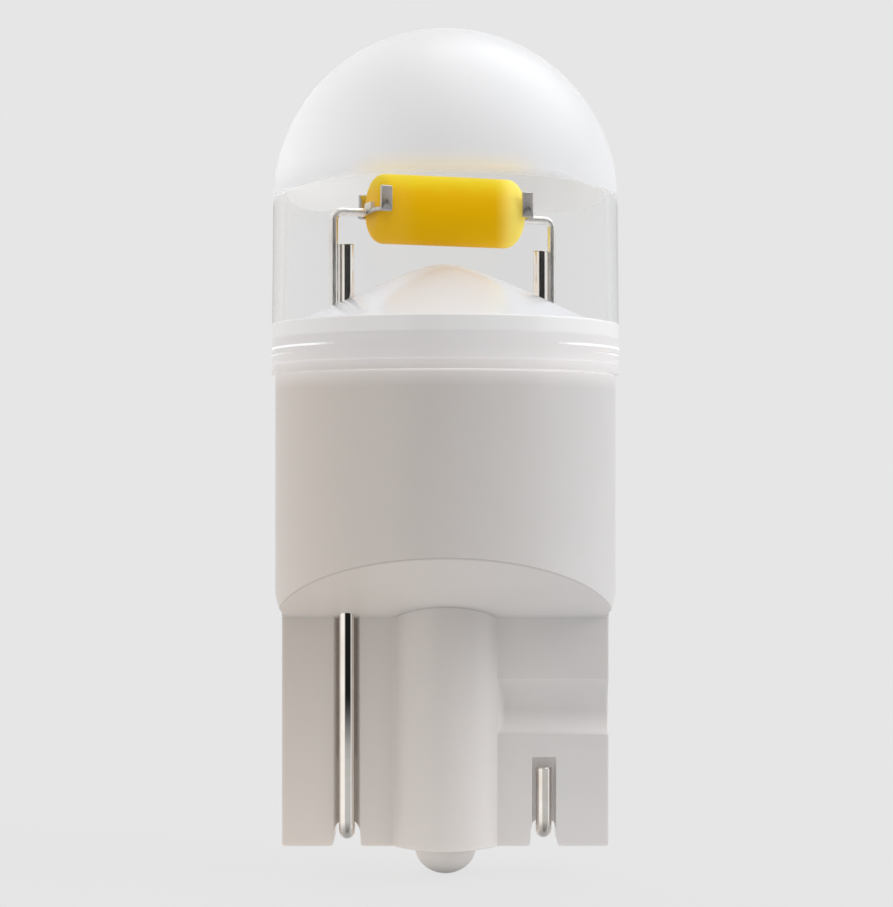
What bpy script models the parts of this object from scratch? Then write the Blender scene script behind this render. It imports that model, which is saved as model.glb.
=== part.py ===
"""Wedge base LED bulb: a white moulded housing with a flat blade, two contact wires, a driver
board, a bell-shaped reflector, a round light source on two lead wires, and a snap-on cap.

Metres, +Z up along the bulb's axis. The origin is the lowest point of the foot pip and the
front looks along -Y. The bulb repeats itself after half a turn about Z, so each paired piece
is drawn once, for the left of the front, and turned for the right.
"""
import math

import bmesh
import bpy
from mathutils import Matrix, Vector

# Foot pip under the boss
PIP_RADIUS = 0.0009
PIP_HEIGHT = 0.00095
PIP_DOME_HEIGHT = 0.00078

# Flat blade of the wedge base
BLADE_WIDTH = 0.0095
BLADE_THICKNESS = 0.00186
BLADE_HEIGHT = 0.00669
BLADE_CORNER = 0.0001
THICKNESS_OVER_WIRE = 0.0021
BOSS_RADIUS = 0.00177

# Round body, its sloped shoulders and its neck
BODY_OVERHANG = 0.00025
BODY_HEIGHT = 0.00702
BODY_EDGE = 0.00006
RAMP_ANGLE = math.radians(24.5)
RAMP_FILLET = 0.00008
SIDE_RELIEF_ANGLE = math.radians(26.6)
SIDE_RELIEF_RISE = 0.00015
NECK_STEP = 0.00025
NECK_HEIGHT = 0.00105

# Hollow for the driver board
NECK_WALL = 0.0007
BOARD_LEDGE_DEPTH = 0.00281
BOARD_LEDGE_WIDTH = 0.00055
CAVITY_DEPTH = 0.0054

# Detent recess across one panel of each face
DETENT_HEIGHT = 0.00405
DETENT_DEPTH = 0.00033
DETENT_RADIUS = 0.00115

# Contact wires, and what holds them in the blade
CONTACT_WIRE_RADIUS = 0.00023
CONTACT_WIRE_INSET = 0.001885
CONTACT_BEND_RADIUS = 0.00035
CONTACT_WIRE_LIFT = 0.00017
CONTACT_TAIL_HEIGHT = 0.00229
CONTACT_TAIL_PROUD = 0.00002
POST_HEIGHT = 0.00227
GROOVE_WIDTH = 0.00074
NOTCH_WIDTH = 0.00079
NOTCH_HEIGHT = 0.00075
NOTCH_CORNER = 0.0001
SLOT_WIDTH = 0.00065
SLOT_ABOVE_TAIL = 0.00028

# Reflector cone with its flange and plug
FLANGE_THICKNESS = 0.00043
PLUG_LENGTH = 0.0008
PLUG_WALL = 0.00036
FLANGE_LIP = 0.0003
CONE_HEIGHT = 0.00178
CONE_CROWN_RADIUS = 0.00085
CONE_WALL = 0.00055

# Snap-on cap
CAP_SKIRT_WALL = 0.00032
CAP_WALL = 0.00034
CAP_DRAFT = 0.00005
CAP_STRAIGHT_HEIGHT = 0.00505
SNAP_HEIGHT = 0.00052
SNAP_RADIUS = 0.0002
SNAP_DEPTH = 0.0001

# Light source on its lead wires
SOURCE_HEIGHT = 0.00333
SOURCE_LEAD_TURN = math.radians(1.5)
CAPSULE_RADIUS = 0.001015
CAPSULE_PAST_CLIP = 0.00011
CAPSULE_END_LENGTH = 0.0004
CAPSULE_END_DEPTH = 0.00045
CLIP_PLATE_WIDTH = 0.000345
CLIP_PLATE_HEIGHT = 0.000745
CLIP_PLATE_RISE = 0.00017
CLIP_THICKNESS = 0.0001
CLIP_BAND_HEIGHT = 0.00012
CLIP_BAND_DROP = 0.00013
CLIP_END_REACH = 0.00023
CLIP_CORNER = 0.00028
SUBSTRATE_WIDTH = 0.00062
SUBSTRATE_THICKNESS = 0.0002
CHIP_COUNT = 4
CHIP_LENGTH = 0.00062
CHIP_WIDTH = 0.0005
CHIP_THICKNESS = 0.00012
CHIP_SPACING = 0.0009
LEAD_WIRE_RADIUS = 0.00013
LEAD_BEND_RADIUS = 0.00025
LEAD_LEVEL_RUN = 0.00093
LEAD_STEP_RADIUS = 0.0004
LEAD_STRAIGHT_LENGTH = 0.0034
LEAD_PAD_INSET = 0.00048
LEAD_PAD_TURN = math.radians(24.0)
LEAD_END_LENGTH = 0.00025

# Driver board and what is soldered to it
BOARD_THICKNESS = 0.0006
BRIDGE_SIZE = (0.0026, 0.0022, 0.0009)
BRIDGE_PLACE = (0.0, 0.0)
DRIVER_SIZE = (0.0022, 0.0022, 0.0008)
DRIVER_PLACE = (0.0, 0.0)
CAPACITOR_SIZE = (0.0016, 0.0008, 0.0008)
CAPACITOR_PLACE = (0.0, -0.002)
DIODE_SIZE = (0.0017, 0.0011, 0.0008)
DIODE_PLACE = (0.0, 0.0022)
RESISTOR_SIZE = (0.0010, 0.0005, 0.00035)
RESISTOR_PLACES = ((-0.0007, -0.0023), (0.0011, -0.0023))
END_CAP_LENGTH = 0.00025
END_CAP_RAISE = 0.00003
LEG_WIDTH = 0.00028
LEG_REACH = 0.00032
LEG_THICKNESS = 0.00012
LEGS_PER_SIDE = 3
PACKAGE_EDGE = 0.00008
SOLDER_COLLAR = 0.00024
SOLDER_HEIGHT = 0.00035
SOLDER_TOP_SHARE = 0.85
SOLDER_STEPS = 3

# Clearances between separate pieces
SEAT_GAP = 0.00003
WIRE_GAP = 0.00004
LEAD_GAP = 0.000035
PLUG_GAP = 0.00005
CAP_GAP = 0.00004
BOARD_GAP = 0.0001
CORE_GAP = 0.00004

# Fineness of the round shapes
BODY_STEPS = 52
SMALL_STEPS = 24
ARC_STEPS = 10
CORNER_STEPS = 4
MERGE_DISTANCE = 1e-7
DRAWING_SCALE = 1000.0

# How a flat drawing (u, v) and its thickness stand in the part
FACING_FRONT = Matrix(((1, 0, 0, 0), (0, 0, -1, 0), (0, 1, 0, 0), (0, 0, 0, 1)))
FACING_SIDE = Matrix(((0, 0, 1, 0), (1, 0, 0, 0), (0, 1, 0, 0), (0, 0, 0, 1)))

# Radii of the body and of what fits on and into its neck
BODY_RADIUS = BLADE_WIDTH / 2 + BODY_OVERHANG
NECK_RADIUS = BODY_RADIUS - NECK_STEP
MOUTH_RADIUS = NECK_RADIUS - NECK_WALL
LEDGE_RADIUS = MOUTH_RADIUS - BOARD_LEDGE_WIDTH
CONE_RADIUS = NECK_RADIUS - FLANGE_LIP
CAP_BORE_RADIUS = NECK_RADIUS + CAP_GAP
CAP_SKIRT_RADIUS = CAP_BORE_RADIUS + CAP_SKIRT_WALL
CAP_DOME_RADIUS = CAP_SKIRT_RADIUS - CAP_DRAFT
CAP_INNER_RADIUS = CAP_DOME_RADIUS - CAP_WALL

# Heights worked out from the sizes above
FOOT_Z = PIP_HEIGHT
ROOT_Z = FOOT_Z + BLADE_HEIGHT
SHOULDER_Z = ROOT_Z + BODY_HEIGHT
NECK_TOP_Z = SHOULDER_Z + NECK_HEIGHT
FLANGE_BASE_Z = NECK_TOP_Z + SEAT_GAP
FLANGE_TOP_Z = FLANGE_BASE_Z + FLANGE_THICKNESS
LEDGE_Z = NECK_TOP_Z - BOARD_LEDGE_DEPTH
CAVITY_FLOOR_Z = NECK_TOP_Z - CAVITY_DEPTH
BOARD_BASE_Z = LEDGE_Z + SEAT_GAP
BOARD_TOP_Z = BOARD_BASE_Z + BOARD_THICKNESS
SOURCE_Z = FLANGE_TOP_Z + SOURCE_HEIGHT
BAND_Z = SOURCE_Z - CLIP_BAND_DROP

# Places across the blade, measured from its mid-plane
PANEL_Y = BLADE_THICKNESS / 2
WIRE_X = CONTACT_WIRE_INSET - BLADE_WIDTH / 2
WIRE_Y = -(THICKNESS_OVER_WIRE - PANEL_Y - CONTACT_WIRE_RADIUS)
TAIL_Y = PANEL_Y + CONTACT_TAIL_PROUD - CONTACT_WIRE_RADIUS
BORE_RADIUS = CONTACT_WIRE_RADIUS + WIRE_GAP
LEAD_BORE_RADIUS = LEAD_WIRE_RADIUS + WIRE_GAP
LEAD_WIRE_REACH = math.hypot(WIRE_X, WIRE_Y) + CONTACT_WIRE_RADIUS + LEAD_WIRE_RADIUS + LEAD_GAP
CLIP_END_OUTSIDE = LEAD_WIRE_REACH - LEAD_LEVEL_RUN - SEAT_GAP
CLIP_SPACING = 2 * (CLIP_END_OUTSIDE - CLIP_THICKNESS / 2 - CLIP_END_REACH)
CAPSULE_LENGTH = CLIP_SPACING + 2 * CAPSULE_PAST_CLIP
SOURCE_YAW = math.atan2(-WIRE_Y, -WIRE_X) + SOURCE_LEAD_TURN
LEAD_PAD_X = (LEDGE_RADIUS - LEAD_PAD_INSET) * math.cos(SOURCE_YAW + LEAD_PAD_TURN)
LEAD_PAD_Y = (LEDGE_RADIUS - LEAD_PAD_INSET) * math.sin(SOURCE_YAW + LEAD_PAD_TURN)
HALF_TURNS = (("left", 0.0), ("right", math.pi))


def clear_scene():
    """Empty the file of every object it opens with."""
    for item in list(bpy.data.objects):
        bpy.data.objects.remove(item, do_unlink=True)


def new_collection(name):
    """Return a new collection linked to the scene."""
    collection = bpy.data.collections.new(name)
    bpy.context.scene.collection.children.link(collection)
    return collection


def new_material(name, colour, roughness, metallic=0.0, alpha=1.0):
    """Return a Principled material with the given linear colour and finish."""
    material = bpy.data.materials.new(name)
    material.use_nodes = True
    shader = material.node_tree.nodes["Principled BSDF"]
    shader.inputs["Base Color"].default_value = (*colour, 1.0)
    shader.inputs["Roughness"].default_value = roughness
    shader.inputs["Metallic"].default_value = metallic
    shader.inputs["Alpha"].default_value = alpha
    material.diffuse_color = (*colour, alpha)
    return material


def add_object(name, data, material=None, parent=None, turn=0.0):
    """Put a part in the bulb's collection, or a cutter in the cutters', when it has no material."""
    item = bpy.data.objects.new(name, data)
    if material is None:
        CUTTERS.objects.link(item)
        item.hide_render = True
        item.display_type = "WIRE"
    else:
        BULB.objects.link(item)
        data.materials.append(material)
    item.rotation_euler.z = turn
    item.parent = parent
    return item


def mesh_from_bmesh(name, shape):
    """Turn a bmesh into mesh data with smooth faces and sharp corners."""
    shape.normal_update()
    data = bpy.data.meshes.new(name)
    shape.to_mesh(data)
    shape.free()
    data.shade_smooth()
    data.set_sharp_from_angle(angle=math.radians(30.0))
    return data


def box_mesh(name, boxes):
    """Mesh of one or more boxes, each given by its size and its centre."""
    shape = bmesh.new()
    for size, centre in boxes:
        place = Matrix.Translation(centre) @ Matrix.Diagonal((*size, 1.0))
        bmesh.ops.create_cube(shape, size=1.0, matrix=place)
    return mesh_from_bmesh(name, shape)


def rod_mesh(name, radius, start, end, segments=SMALL_STEPS):
    """Mesh of a straight round rod from one point to another."""
    start, end = Vector(start), Vector(end)
    along = end - start
    place = Matrix.Translation((start + end) / 2) @ along.to_track_quat("Z", "Y").to_matrix().to_4x4()
    shape = bmesh.new()
    bmesh.ops.create_cone(shape, cap_ends=True, segments=segments, radius1=radius, radius2=radius,
                          depth=along.length, matrix=place)
    return mesh_from_bmesh(name, shape)


def rods_mesh(name, rods):
    """Mesh of several rods, each given by its radius, start and end."""
    shape = bmesh.new()
    for radius, start, end in rods:
        rod = rod_mesh(name, radius, start, end)
        shape.from_mesh(rod)
        bpy.data.meshes.remove(rod)
    return mesh_from_bmesh(name, shape)


def turned(name, profile, material=None, steps=BODY_STEPS, parent=None):
    """Object turned about Z from a profile of (radius, height) points, outer side downwards."""
    data = bpy.data.meshes.new(name)
    points = [(radius, 0.0, height) for radius, height in profile]
    edges = [(index, index + 1) for index in range(len(points) - 1)]
    if profile[0][0] > 0.0:
        edges.append((len(points) - 1, 0))
    data.from_pydata(points, edges, [])
    item = add_object(name, data, material, parent)
    screw = item.modifiers.new("turn", "SCREW")
    screw.steps = steps
    screw.render_steps = steps
    screw.use_merge_vertices = True
    screw.merge_threshold = MERGE_DISTANCE
    screw.use_smooth_shade = True
    return item


def curve_mesh(name, curve):
    """Mesh of a curve drawn in millimetres, with its caps welded, brought to metres."""
    holder = bpy.data.objects.new(name, curve)
    CUTTERS.objects.link(holder)
    evaluated = holder.evaluated_get(bpy.context.evaluated_depsgraph_get())
    data = bpy.data.meshes.new_from_object(evaluated)
    bpy.data.objects.remove(holder, do_unlink=True)
    bpy.data.curves.remove(curve)
    data.transform(Matrix.Scale(1.0 / DRAWING_SCALE, 4))
    shape = bmesh.new()
    shape.from_mesh(data)
    bpy.data.meshes.remove(data)
    bmesh.ops.remove_doubles(shape, verts=shape.verts, dist=MERGE_DISTANCE)
    bmesh.ops.recalc_face_normals(shape, faces=shape.faces)
    return mesh_from_bmesh(name, shape)


def add_spline(curve, points, closed):
    """Add a straight-sided spline through 3-D points."""
    spline = curve.splines.new("POLY")
    spline.points.add(len(points) - 1)
    for target, point in zip(spline.points, points):
        target.co = (*(Vector(point) * DRAWING_SCALE), 1.0)
    spline.use_cyclic_u = closed


def plate_mesh(name, outline, thickness, placing):
    """Mesh of a flat outline with thickness; placing turns the drawing plane into the part."""
    curve = bpy.data.curves.new(name, "CURVE")
    curve.dimensions = "2D"
    curve.fill_mode = "BOTH"
    curve.extrude = thickness / 2 * DRAWING_SCALE
    add_spline(curve, [(u, v, 0.0) for u, v in outline], True)
    data = curve_mesh(name, curve)
    data.transform(placing)
    return data


def wire_mesh(name, path, radius):
    """Mesh of a round wire along a path, with closed ends."""
    curve = bpy.data.curves.new(name, "CURVE")
    curve.dimensions = "3D"
    curve.twist_mode = "MINIMUM"
    curve.bevel_depth = radius * DRAWING_SCALE
    curve.bevel_resolution = 2
    curve.use_fill_caps = True
    add_spline(curve, path, False)
    return curve_mesh(name, curve)


def combine(target, other, operation, crossing=False):
    """Cut another object from the target, join it on, or keep only what they share.

    crossing says that the other object's own pieces run into each other.
    """
    boolean = target.modifiers.new(operation.lower(), "BOOLEAN")
    boolean.operation = operation
    boolean.solver = "EXACT"
    boolean.use_self = crossing
    boolean.object = other


def arc(centre, radius, start, end, steps):
    """Points of a round or oval arc; radius is one number or a pair, angles in radians."""
    across, up = radius if isinstance(radius, tuple) else (radius, radius)
    points = []
    for index in range(steps + 1):
        angle = start + (end - start) * index / steps
        points.append((centre[0] + across * math.cos(angle), centre[1] + up * math.sin(angle)))
    return points


def rounded_path(corners, radius, steps=CORNER_STEPS):
    """Path through corners in space, each one rounded by an arc that meets both its runs."""
    path = [Vector(corners[0])]
    for before, corner, after in zip(corners, corners[1:], corners[2:]):
        corner = Vector(corner)
        back = (Vector(before) - corner).normalized()
        onward = (Vector(after) - corner).normalized()
        half_angle = back.angle(onward) / 2
        centre = corner + (back + onward).normalized() * radius / math.sin(half_angle)
        first = corner + back * radius / math.tan(half_angle) - centre
        last = corner + onward * radius / math.tan(half_angle) - centre
        sweep = first.angle(last)
        for index in range(steps + 1):
            share = index / steps
            weights = math.sin((1 - share) * sweep), math.sin(share * sweep)
            path.append(centre + (first * weights[0] + last * weights[1]) / math.sin(sweep))
    path.append(Vector(corners[-1]))
    return path


def blade_outline():
    """Front view of the blade: rounded lower corners and an arched notch for each wire."""
    right = BLADE_WIDTH / 2
    top = ROOT_Z + SIDE_RELIEF_RISE + RAMP_FILLET
    notch_half = NOTCH_WIDTH / 2
    arch_z = FOOT_Z + NOTCH_HEIGHT - notch_half
    outline = [(-right, top)]
    outline += arc((-right + BLADE_CORNER, FOOT_Z + BLADE_CORNER), BLADE_CORNER,
                   math.pi, 1.5 * math.pi, CORNER_STEPS)
    for middle in (WIRE_X, -WIRE_X):
        left_corner = middle - notch_half - NOTCH_CORNER
        right_corner = middle + notch_half + NOTCH_CORNER
        corner_z = FOOT_Z + NOTCH_CORNER
        outline += arc((left_corner, corner_z), NOTCH_CORNER, -math.pi / 2, 0.0, CORNER_STEPS)
        outline += arc((middle, arch_z), notch_half, math.pi, 0.0, ARC_STEPS)
        outline += arc((right_corner, corner_z), NOTCH_CORNER, math.pi, 1.5 * math.pi, CORNER_STEPS)
    outline += arc((right - BLADE_CORNER, FOOT_Z + BLADE_CORNER), BLADE_CORNER,
                   -math.pi / 2, 0.0, CORNER_STEPS)
    outline.append((right, top))
    return outline


def ramp_outline():
    """Side view of the space above the two ramps, with the fillet where each meets the blade."""
    reach = BODY_RADIUS + RAMP_FILLET
    high = NECK_TOP_Z + RAMP_FILLET
    slope = math.tan(RAMP_ANGLE)
    turn = math.pi / 2 - RAMP_ANGLE
    fillet_y = PANEL_Y + RAMP_FILLET
    fillet_z = ROOT_Z + slope * RAMP_FILLET - RAMP_FILLET / math.cos(RAMP_ANGLE)
    side = [(reach, ROOT_Z + slope * (reach - PANEL_Y))]
    side += arc((fillet_y, fillet_z), RAMP_FILLET, math.pi - turn, math.pi, CORNER_STEPS)
    side.append((PANEL_Y / 2, fillet_z))
    mirrored = [(-y, z) for y, z in reversed(side)]
    return [(reach, high)] + side + mirrored + [(-reach, high)]


def relief_outline():
    """Front view of the body's side relief, which leads in from the round body to the blade."""
    reach = BODY_RADIUS + RAMP_FILLET
    low = ROOT_Z - 2 * RAMP_FILLET
    inner = BLADE_WIDTH / 2 - (ROOT_Z + SIDE_RELIEF_RISE - low) * math.tan(SIDE_RELIEF_ANGLE)
    side_z = low + (reach - inner) / math.tan(SIDE_RELIEF_ANGLE)
    high = NECK_TOP_Z + RAMP_FILLET
    return [(inner, low), (reach, side_z), (reach, high), (-reach, high), (-reach, side_z), (-inner, low)]


def make_body():
    """Round body with its neck, snap groove, board ledge and hollow, cut to the two ramps."""
    snap_z = SHOULDER_Z + SNAP_HEIGHT
    snap_bend = math.acos(1.0 - SNAP_DEPTH / SNAP_RADIUS)
    profile = [(0.0, CAVITY_FLOOR_Z), (LEDGE_RADIUS, CAVITY_FLOOR_Z), (LEDGE_RADIUS, LEDGE_Z),
               (MOUTH_RADIUS, LEDGE_Z), (MOUTH_RADIUS, NECK_TOP_Z), (NECK_RADIUS, NECK_TOP_Z)]
    profile += arc((NECK_RADIUS + SNAP_RADIUS - SNAP_DEPTH, snap_z), SNAP_RADIUS,
                   math.pi - snap_bend, math.pi + snap_bend, CORNER_STEPS)
    profile += [(NECK_RADIUS, SHOULDER_Z), (BODY_RADIUS - BODY_EDGE, SHOULDER_Z),
                (BODY_RADIUS, SHOULDER_Z - BODY_EDGE), (BODY_RADIUS, ROOT_Z - RAMP_FILLET),
                (0.0, ROOT_Z - RAMP_FILLET)]
    housing = turned("wedge_housing", profile, WHITE_MOULDING)
    span = 3 * BODY_RADIUS
    ramps = add_object("ramp_space", plate_mesh("ramp_space", ramp_outline(), span, FACING_SIDE))
    relief = add_object("relief_space", plate_mesh("relief_space", relief_outline(), span, FACING_FRONT))
    combine(housing, ramps, "INTERSECT")
    combine(housing, relief, "INTERSECT")
    return housing


def make_blade():
    """Flat blade with its wire grooves, tail slots and the detent recess on each face."""
    data = plate_mesh("blade", blade_outline(), BLADE_THICKNESS, FACING_FRONT)
    blade = add_object("blade", data)
    outside = 2 * BLADE_THICKNESS
    groove_floor = WIRE_Y + CONTACT_WIRE_RADIUS + WIRE_GAP
    groove = ((GROOVE_WIDTH, outside, ROOT_Z), (WIRE_X, groove_floor - outside / 2, ROOT_Z / 2))
    slot_top = tail_top() + SLOT_ABOVE_TAIL
    slot_floor = TAIL_Y - CONTACT_WIRE_RADIUS - WIRE_GAP
    slot = ((SLOT_WIDTH, outside, slot_top), (WIRE_X, slot_floor + outside / 2, slot_top / 2))
    recess_y = PANEL_Y - DETENT_DEPTH + DETENT_RADIUS
    recess_z = FOOT_Z + DETENT_HEIGHT
    for side, turn in HALF_TURNS:
        channels = add_object(f"wire_channels_{side}", box_mesh("channels", [groove, slot]), turn=turn)
        combine(blade, channels, "DIFFERENCE")
        recess = rod_mesh("detent", DETENT_RADIUS, (0.0, recess_y, recess_z),
                          (-BLADE_WIDTH, recess_y, recess_z), BODY_STEPS)
        combine(blade, add_object(f"detent_{side}", recess, turn=turn), "DIFFERENCE")
    return blade


def make_housing():
    """The one-piece moulding: body, blade, boss and foot pip, bored for the contact wires."""
    housing = make_body()
    boss_top = ROOT_Z + BOSS_RADIUS
    boss = rod_mesh("boss", BOSS_RADIUS, (0.0, 0.0, FOOT_Z), (0.0, 0.0, boss_top), BODY_STEPS)
    pip_top = FOOT_Z + PIP_RADIUS / 2
    pip_profile = [(0.0, pip_top), (PIP_RADIUS, pip_top)]
    pip_profile += arc((0.0, PIP_DOME_HEIGHT), (PIP_RADIUS, PIP_DOME_HEIGHT),
                       0.0, -math.pi / 2, CORNER_STEPS + 3)[:-1]
    pip_profile.append((0.0, 0.0))
    combine(housing, make_blade(), "UNION")
    combine(housing, add_object("boss", boss), "UNION")
    combine(housing, turned("pip", pip_profile, steps=SMALL_STEPS), "UNION")
    for side, turn in HALF_TURNS:
        bore = rod_mesh("bore", BORE_RADIUS, (WIRE_X, WIRE_Y, ROOT_Z - GROOVE_WIDTH),
                        (WIRE_X, WIRE_Y, CAVITY_FLOOR_Z + GROOVE_WIDTH))
        combine(housing, add_object(f"wire_bore_{side}", bore, turn=turn), "DIFFERENCE")


def tail_top():
    """Height of the cut end of a contact wire's tail."""
    return FOOT_Z + CONTACT_TAIL_HEIGHT


def make_contact_wires():
    """Wires that run down the blade, under it through the notch and up the other face."""
    run_z = FOOT_Z + CONTACT_WIRE_LIFT + CONTACT_WIRE_RADIUS
    corners = [(WIRE_X, WIRE_Y, FLANGE_TOP_Z + POST_HEIGHT), (WIRE_X, WIRE_Y, run_z),
               (WIRE_X, TAIL_Y, run_z), (WIRE_X, TAIL_Y, tail_top())]
    path = rounded_path(corners, CONTACT_BEND_RADIUS, CORNER_STEPS + 1)
    for side, turn in HALF_TURNS:
        data = wire_mesh("contact_wire", path, CONTACT_WIRE_RADIUS)
        add_object(f"contact_wire_{side}", data, PLATED_WIRE, turn=turn)


def lead_elbow():
    """Place in plan of the left lead wire's upright run, on the light source's axis."""
    return -LEAD_WIRE_REACH * math.cos(SOURCE_YAW), -LEAD_WIRE_REACH * math.sin(SOURCE_YAW)


def make_lead_wires():
    """Wires from the clips' ends, down through the cone and across to the board."""
    elbow_x, elbow_y = lead_elbow()
    clip_end = LEAD_WIRE_REACH - LEAD_LEVEL_RUN
    tip = (-clip_end * math.cos(SOURCE_YAW), -clip_end * math.sin(SOURCE_YAW), BAND_Z)
    step_z = BAND_Z - LEAD_STRAIGHT_LENGTH
    pad_z = BOARD_TOP_Z + SOLDER_HEIGHT + LEAD_STEP_RADIUS
    upper = rounded_path([tip, (elbow_x, elbow_y, BAND_Z), (elbow_x, elbow_y, step_z)], LEAD_BEND_RADIUS)
    lower = rounded_path([(elbow_x, elbow_y, BAND_Z - 2 * LEAD_BEND_RADIUS), (elbow_x, elbow_y, step_z),
                          (-LEAD_PAD_X, -LEAD_PAD_Y, pad_z),
                          (-LEAD_PAD_X, -LEAD_PAD_Y, BOARD_BASE_Z - LEAD_END_LENGTH)], LEAD_STEP_RADIUS)
    for side, turn in HALF_TURNS:
        data = wire_mesh("lead_wire", upper[:-1] + lower[1:], LEAD_WIRE_RADIUS)
        add_object(f"lead_wire_{side}", data, PLATED_WIRE, turn=turn)


def cone_height(radius):
    """Height of the reflector's surface: a straight flank that rounds over into the crown."""
    def rise(distance):
        return math.hypot(distance, CONE_CROWN_RADIUS) - CONE_CROWN_RADIUS
    return FLANGE_TOP_Z + CONE_HEIGHT * (1.0 - rise(radius) / rise(CONE_RADIUS))


def make_reflector():
    """Bell-shaped insert: cone, flange on the neck and plug ring in the mouth, with wire holes."""
    plug_outer = MOUTH_RADIUS - PLUG_GAP
    plug_inner = plug_outer - PLUG_WALL
    plug_base = FLANGE_BASE_Z - PLUG_LENGTH
    radii = [CONE_RADIUS * index / ARC_STEPS for index in range(ARC_STEPS + 1)]
    profile = [(radius, cone_height(radius)) for radius in radii]
    profile += [(NECK_RADIUS - BODY_EDGE, FLANGE_TOP_Z), (NECK_RADIUS, FLANGE_TOP_Z - BODY_EDGE),
                (NECK_RADIUS, FLANGE_BASE_Z), (plug_outer, FLANGE_BASE_Z),
                (plug_outer, plug_base), (plug_inner, plug_base)]
    inner = [radius for radius in radii if radius < plug_inner]
    profile.append((plug_inner, cone_height(plug_inner) - CONE_WALL))
    profile += [(radius, cone_height(radius) - CONE_WALL) for radius in reversed(inner)]
    insert = turned("reflector_insert", profile, WHITE_REFLECTOR)
    elbow = lead_elbow()
    high = FLANGE_TOP_Z + CONE_HEIGHT
    for side, turn in HALF_TURNS:
        holes = rods_mesh("holes", [
            (BORE_RADIUS, (WIRE_X, WIRE_Y, plug_base), (WIRE_X, WIRE_Y, high)),
            (LEAD_BORE_RADIUS, (*elbow, plug_base), (*elbow, high))])
        cutter = add_object(f"post_holes_{side}", holes, turn=turn)
        combine(insert, cutter, "DIFFERENCE", crossing=True)


def make_cap():
    """Snap-on cap: straight sleeve with a snap bead inside its skirt, and a round top."""
    base = SHOULDER_Z + SEAT_GAP
    tangent = base + CAP_STRAIGHT_HEIGHT
    snap_z = SHOULDER_Z + SNAP_HEIGHT
    bead = SNAP_RADIUS - CAP_GAP
    bead_x = NECK_RADIUS + SNAP_RADIUS - SNAP_DEPTH
    bead_bend = math.acos((bead_x - CAP_BORE_RADIUS) / bead)
    profile = arc((0.0, tangent), CAP_DOME_RADIUS, math.pi / 2, 0.0, ARC_STEPS + 4)
    profile[0] = (0.0, tangent + CAP_DOME_RADIUS)
    profile += [(CAP_SKIRT_RADIUS, base), (CAP_BORE_RADIUS, base)]
    profile += arc((bead_x, snap_z), bead, math.pi + bead_bend, math.pi - bead_bend, CORNER_STEPS)
    profile.append((CAP_BORE_RADIUS, FLANGE_TOP_Z))
    profile += arc((0.0, tangent), CAP_INNER_RADIUS, 0.0, math.pi / 2, ARC_STEPS + 2)[:-1]
    profile.append((0.0, tangent + CAP_INNER_RADIUS))
    turned("dome_lens", profile, CLEAR_CAP)


def make_capsule(source):
    """Round-ended phosphor body with a flat-sided core hole from end to end."""
    half = CAPSULE_LENGTH / 2
    flat_radius = CAPSULE_RADIUS - CAPSULE_END_DEPTH
    shoulder = half - CAPSULE_END_LENGTH
    end_arc = arc((flat_radius, shoulder), (CAPSULE_END_DEPTH, CAPSULE_END_LENGTH),
                  math.pi / 2, 0.0, CORNER_STEPS + 2)
    profile = [(0.0, half)] + end_arc
    profile += [(radius, -height) for radius, height in reversed(end_arc)]
    profile.append((0.0, -half))
    capsule = turned("phosphor_capsule", profile, PHOSPHOR, SMALL_STEPS + 8, source)
    capsule.rotation_euler.y = math.pi / 2
    tall = SUBSTRATE_THICKNESS + CHIP_THICKNESS + SEAT_GAP + 2 * CORE_GAP
    core = box_mesh("core_hole", [((2 * CAPSULE_LENGTH, SUBSTRATE_WIDTH + 2 * CORE_GAP, tall),
                                   (0.0, 0.0, substrate_base() - CORE_GAP + tall / 2))])
    combine(capsule, add_object("core_hole", core, parent=source), "DIFFERENCE")


def substrate_base():
    """Underside of the substrate, just above the clips' bands, from the source's centre."""
    return CLIP_BAND_HEIGHT / 2 - CLIP_BAND_DROP + SEAT_GAP


def make_substrate(source):
    """Ceramic strip through the phosphor, resting on the clips' bands, with its row of chips."""
    reach = CLIP_SPACING / 2 + CLIP_END_REACH
    size = (2 * reach, SUBSTRATE_WIDTH, SUBSTRATE_THICKNESS)
    centre = (0.0, 0.0, substrate_base() + SUBSTRATE_THICKNESS / 2)
    add_object("led_substrate", box_mesh("led_substrate", [(size, centre)]), CERAMIC, source)
    chip_z = substrate_base() + SUBSTRATE_THICKNESS + SEAT_GAP + CHIP_THICKNESS / 2
    for index in range(CHIP_COUNT):
        chip_x = (index - (CHIP_COUNT - 1) / 2) * CHIP_SPACING
        chip = box_mesh("chip", [((CHIP_LENGTH, CHIP_WIDTH, CHIP_THICKNESS), (0.0, 0.0, 0.0))])
        item = add_object(f"led_chip_{index + 1}", chip, CHIP_DIE, source)
        item.location = (chip_x, 0.0, chip_z)


def band_outline():
    """Plan of a clip's band: a strip bent round the light source's end, with round corners."""
    plate_x = -CLIP_SPACING / 2
    end_x = plate_x - CLIP_END_REACH
    side_y = CAPSULE_RADIUS + SEAT_GAP + CLIP_THICKNESS / 2
    start_x = plate_x + CLIP_PLATE_WIDTH / 2 - CLIP_THICKNESS
    outline = []
    for offset, order in ((CLIP_THICKNESS / 2, 1), (-CLIP_THICKNESS / 2, -1)):
        radius = CLIP_CORNER + offset
        centre_x = end_x + CLIP_CORNER
        centre_y = side_y - CLIP_CORNER
        edge = [(start_x, side_y + offset)]
        edge += arc((centre_x, centre_y), radius, math.pi / 2, math.pi, CORNER_STEPS)
        edge += arc((centre_x, -centre_y), radius, math.pi, 1.5 * math.pi, CORNER_STEPS)
        edge.append((start_x, -side_y - offset))
        outline += edge[::order]
    return outline


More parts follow.
